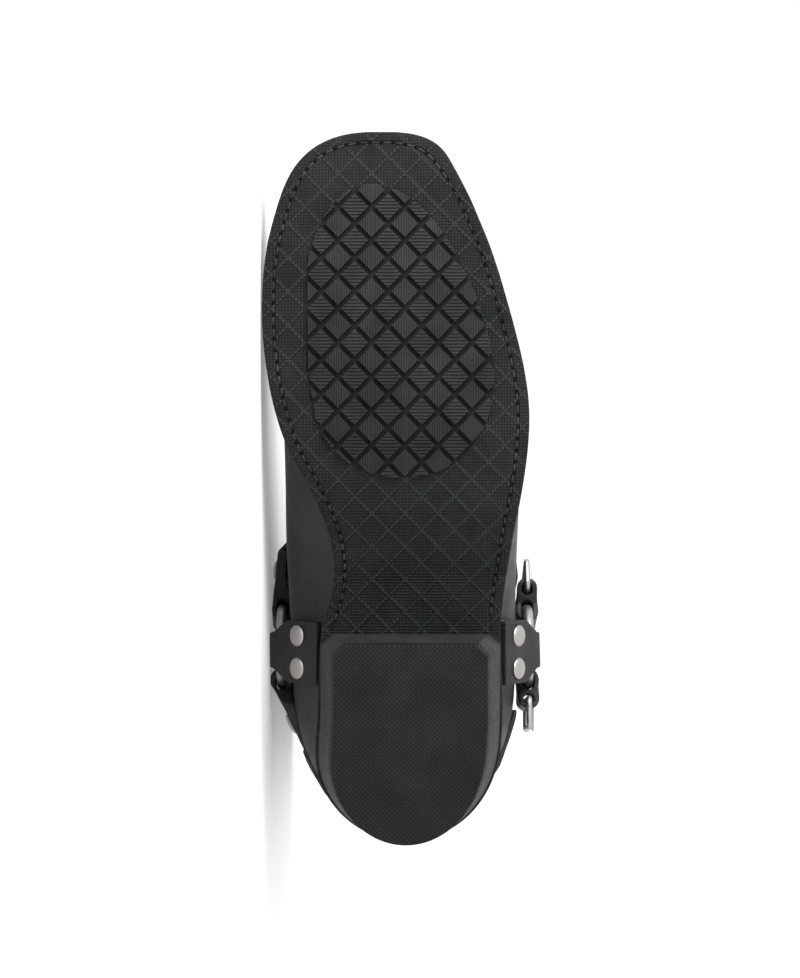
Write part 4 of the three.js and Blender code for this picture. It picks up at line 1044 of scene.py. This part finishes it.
def soft_copy(name, node, angle, side, voxel=0.00055):
    source = add_object(name + "_source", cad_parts[node].data.copy())
    remesh = source.modifiers.new("remesh", "REMESH")
    remesh.mode = "VOXEL"
    remesh.voxel_size = voxel
    soften = source.modifiers.new("soften", "SMOOTH")
    soften.factor = 0.5
    soften.iterations = 6
    bpy.context.view_layer.update()
    mesh = bpy.data.meshes.new_from_object(source.evaluated_get(bpy.context.evaluated_depsgraph_get()))
    bpy.data.objects.remove(source)
    co, normal = read_vectors(mesh, "co") / MM, read_vectors(mesh, "normal")
    boot = to_boot(co)
    m = ring_frame(side, angle)
    local = (boot - m[:3, 3]) @ m[:3, :3]
    out, across = local[:, 0], local[:, 2]
    out = np.where(np.sign(boot[:, 0]) == side, out, out + OTHER_SIDE)
    edge = STRAP_WIDTH / 2 - np.abs(across)
    line = EDGE_LINE_DEPTH * np.exp(-((edge - EDGE_LINE_IN) / EDGE_LINE_WIDE) ** 2)
    beyond = smoothstep(RING_ACROSS / 2 + 8, RING_ACROSS / 2 + 12, np.abs(out))
    wave = 0.16 * np.sin(out * 0.21 + across * 0.11) + 0.1 * np.sin(out * 0.43 - across * 0.2)
    rise = wave * smoothstep(0, 5, edge) - line * beyond
    facing = np.column_stack([-normal[:, 2], -normal[:, 0], normal[:, 1]])
    steep = smoothstep(0.35, 0.8, 1 - np.abs(facing @ m[:3, 2]))
    co += normal * (rise * steep)[:, None]
    co[:, 2] = np.maximum(co[:, 2], FLOOR_PLAY)
    mesh.vertices.foreach_set("co", (co * MM).ravel())
    add_plan(mesh, np.column_stack([across, out]))
    mesh.update()
    dress(name, mesh, STRAP_LEATHER, "black_leather", [node])


# Strap ends: side, angle, where the layers meet and where the double part ends, as shares of the
# ring's width, and the rivets' place between the two
STRAP_ENDS = {
    "sideMedial": (1, -90, (0.641, -0.128), (1.038, -0.474), 0.36),
    "sideLateral": (-1, -90, (0.667, -0.103), (1.038, -0.346), 0.36),
    "instep": (1, INSTEP_ANGLE, (0.744, 0.02), (1.077, 0.005), 0.46),
    "heel": (1, HEEL_ANGLE, (0.718, -0.103), (1.051, -0.267), 0.46),
}


def rivet_frames(name):
    side, angle, meet, end, share = STRAP_ENDS[name]
    meet, end = np.array(meet) * RING_ACROSS, np.array(end) * RING_ACROSS
    at = mix(meet, end, share)
    slope = math.atan2(end[1] - meet[1], end[0] - meet[0])
    for way in (-1, 1):
        shift, turn = np.eye(4), np.eye(4)
        shift[:3, 3] = [at[0], at[1], way * RIVET_PITCH / 2]
        turn[:2, :2] = [[math.cos(slope), -math.sin(slope)], [math.sin(slope), math.cos(slope)]]
        yield ring_frame(side, angle) @ shift @ turn


def build_rivets():
    seat = STRAP_THICK + GAP / 2
    cap = RIVET_CAP / 2
    dome = [(0.0, 1.0), (0.35, 0.97), (0.62, 0.84), (0.82, 0.62), (0.95, 0.34), (1.0, 0.12), (0.97, 0.0)]
    outer = [(r * cap, seat + h * RIVET_DOME) for r, h in dome] + [(RIVET_SHANK / 2, seat)]
    profile = outer + [(r, -h) for r, h in outer[::-1]]
    for name in STRAP_ENDS:
        for number, place in enumerate(rivet_frames(name), 1):
            points, faces = lathe(profile, place)
            node = f"rivet_{name}_{number}"
            low, high = (np.array(corner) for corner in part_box(node))
            low, high = np.minimum(low, high) - BOX_PLAY, np.maximum(low, high) + BOX_PLAY
            kept = np.clip(to_row(points), low, high)
            piece(f"cap_{name}_{number}", to_boot(kept / MM), faces, NICKEL, "nickel", [node], sharp=50)


def build_rings():
    radius = (RING_ACROSS - RING_WIRE) / 2
    turn = np.linspace(0, 2 * np.pi, 121)[:-1]
    local = np.column_stack([radius * np.cos(turn), np.zeros_like(turn), radius * np.sin(turn)])
    for side, node in ((1, "ring_medial"), (-1, "ring_lateral")):
        m = ring_frame(side, 0)
        path = local @ m[:3, :3].T + m[:3, 3]
        points, faces = sweep(path, RING_WIRE / 2, 24, closed=True)
        piece(node + "_round", points, faces, NICKEL, "nickel", [node])


def rounded_loop(low, high, half, corner, steps=9):
    points = []
    for cx, cy, start in ((high, half, 0), (low, half, 90), (low, -half, 180), (high, -half, 270)):
        mx = cx - corner * (1 if cx == high else -1)
        my = cy - corner * (1 if cy > 0 else -1)
        for k in range(steps):
            turn = math.radians(start + 90 * k / (steps - 1))
            points.append([mx + corner * math.cos(turn), 0, my + corner * math.sin(turn)])
    return np.array(points)


def build_buckles():
    wire = BUCKLE_WIRE / 2
    for name, angle in (("instep", INSTEP_ANGLE), ("heel", HEEL_ANGLE)):
        m = ring_frame(-1, angle)
        far = BUCKLE_REACH + BUCKLE_LENGTH - 2 * wire
        corners = rounded_loop(BUCKLE_REACH, far, BUCKLE_WIDTH / 2 - wire, BUCKLE_CORNER)
        dense = []
        for a, b in zip(corners, np.roll(corners, -1, 0)):
            count = max(int(np.linalg.norm(b - a) / 0.9), 1)
            dense += [mix(a, b, k / count) for k in range(count)]
        path = np.array(dense) @ m[:3, :3].T + m[:3, 3]
        points, faces = sweep(path, wire, 16, closed=True)
        piece(f"{name}_frame", points, faces, NICKEL, "nickel", [f"{name}_buckle"])
        round_bar = BUCKLE_WIRE * PRONG_EYE + PRONG_HALF
        turn = np.radians(np.linspace(328, 62, 26))
        curl = np.column_stack([BUCKLE_REACH + round_bar * np.cos(turn), round_bar * np.sin(turn)])
        rest = wire + GAP + PRONG_HALF
        tip = BUCKLE_REACH + BUCKLE_LENGTH - wire
        on = np.linspace(0.08, 1, 22)
        run = np.column_stack([mix(curl[-1, 0], tip, on), mix(curl[-1, 1], rest, smoothstep(0, 0.45, on))])
        line = np.column_stack([np.concatenate([curl, run]), np.zeros(len(curl) + len(run))])
        line = line @ m[:3, :3].T + m[:3, 3]
        width = np.concatenate([np.full(len(curl), 0.72), np.linspace(0.74, 0.6, len(run) - 2), [0.5, 0.2]])
        points, faces = sweep(line, width, 16)
        piece(f"{name}_tongue", points, faces, NICKEL, "nickel", [f"{name}_prong"])


# Seams of the upper

def build_seams():
    for side, label in ((1, "medial"), (-1, "lateral")):
        p, a = side_line(side, [(97, 44), (95, 62), (86, 82), (66, 98), (38, 106), (12, 109)])
        ribbon(f"counter_edge_{label}", p, a, [0, 0.25 * side, 1.2 * side, 5 * side, 12 * side],
               [-0.2, 0.75, 0.95, 0.6, -0.15])
        stitch_line(f"counter_stitches_{label}", p, a, 2.4 * side, lift=1.1)
        stitch_line(f"counter_stitches_b_{label}", p, a, 4.9 * side, lift=0.85)
        p, a = side_line(side, [(78, 108), (78, 150), (79, 200), (80, 250), (81, 300)])
        ribbon(f"side_seam_{label}", p, a, [-2.4, -2.1, -1.2, 0.001, 1.2, 2.1, 2.4],
               [-0.15, 0.45, 0.8, 0.95, 0.8, 0.45, -0.15])
        stitch_line(f"side_stitches_{label}", p, a, 4.2, lift=0.1)
        stitch_line(f"side_stitches_b_{label}", p, a, -4.2, lift=0.1)
    around = np.linspace(-1, 1, 400)
    place = np.full(400, LAST_ROW - 0.62)
    stitch_line("collar_stitches", place, around, 0.01, lift=0.15)


# Floor, light and camera: the photo's view of the sole, toe up

FOCAL_PIXELS = 2381
PICTURE_HEIGHT = 978
CAMERA_PLACE = (1.7, 154.0, -1000.0)
WORLD_STRENGTH = 1.12


def build_stage():
    s = Shader("floor", (0.8, 0.8, 0.795), 0.8, specular=0.1)
    s.set("Emission Color", (1, 1, 1, 1))
    s.set("Emission Strength", 0.22)
    reach, far, bend = 9.0, 7.0, 4.0
    turn = np.linspace(0.1, math.pi / 2, 14)
    profile = [(-6.0, 0.0), (far, 0.0)]
    profile += [(far + bend * math.sin(t), bend * (1 - math.cos(t))) for t in turn]
    profile += [(far + bend, 14.0)]
    points = [(x, y, z) for y, z in profile for x in (-reach, reach)]
    faces = [[2 * k, 2 * k + 1, 2 * k + 3, 2 * k + 2] for k in range(len(profile) - 1)]
    mesh = bpy.data.meshes.new("floor")
    mesh.from_pydata(points, [], faces)
    mesh.materials.append(s.material)
    mesh.shade_smooth()
    floor = add_object("floor", mesh)
    floor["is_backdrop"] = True


def area_light(name, place, target, size, power):
    data = bpy.data.lights.new(name, "AREA")
    data.shape = "DISK"
    data.size = size
    data.energy = power
    lamp = add_object(name, data)
    aim = (np.array(target) - np.array(place)).tolist()
    turn = Vector(aim).to_track_quat("-Z", "Y").to_matrix().to_4x4()
    lamp.matrix_world = Matrix.Translation(place) @ turn


def build_light():
    world = bpy.data.worlds.new("studio")
    world.use_nodes = True
    back = world.node_tree.nodes["Background"]
    back.inputs["Color"].default_value = (1, 1, 1, 1)
    back.inputs["Strength"].default_value = WORLD_STRENGTH
    bpy.context.scene.world = world
    area_light("key", (-0.7, -0.72, 0.34), (-0.08, -0.15, 0.06), 0.6, 12.5)
    area_light("fill", (1.0, -1.1, 0.2), (0, -0.1, 0.06), 1.0, 2.5)
    bpy.context.scene.view_settings.view_transform = "Standard"


def build_camera():
    data = bpy.data.cameras.new("camera")
    data.sensor_width = 36
    data.lens = FOCAL_PIXELS / PICTURE_HEIGHT * data.sensor_width
    camera = add_object("camera", data)
    x, y, z = to_row([CAMERA_PLACE])[0]
    camera.matrix_world = Matrix(((0, -1, 0, x), (0, 0, -1, y), (1, 0, 0, z), (0, 0, 0, 1)))
    bpy.context.scene.camera = camera


build_outsole()
insert_floor()
build_lugs()
sole_stitches()
build_welt()
build_heel()
build_insole()
build_upper()
soft_copy("strap_side_medial", "side_strap_medial", -90, 1)
soft_copy("strap_side_lateral", "side_strap_lateral", -90, -1)
soft_copy("strap_instep", "instep_strap", INSTEP_ANGLE, 1)
soft_copy("strap_heel", "heel_strap", HEEL_ANGLE, 1)
soft_copy("tab_instep", "instep_tab", INSTEP_ANGLE, -1, voxel=0.00045)
soft_copy("tab_heel", "heel_tab", HEEL_ANGLE, -1, voxel=0.00045)
build_rivets()
build_rings()
build_buckles()
build_seams()
build_stage()
build_light()
build_camera()

corners = lambda b: [[round(float(v), 6) for v in corner] for corner in b]
{"first": corners(FIRST_BOUNDS), "last": corners(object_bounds())}
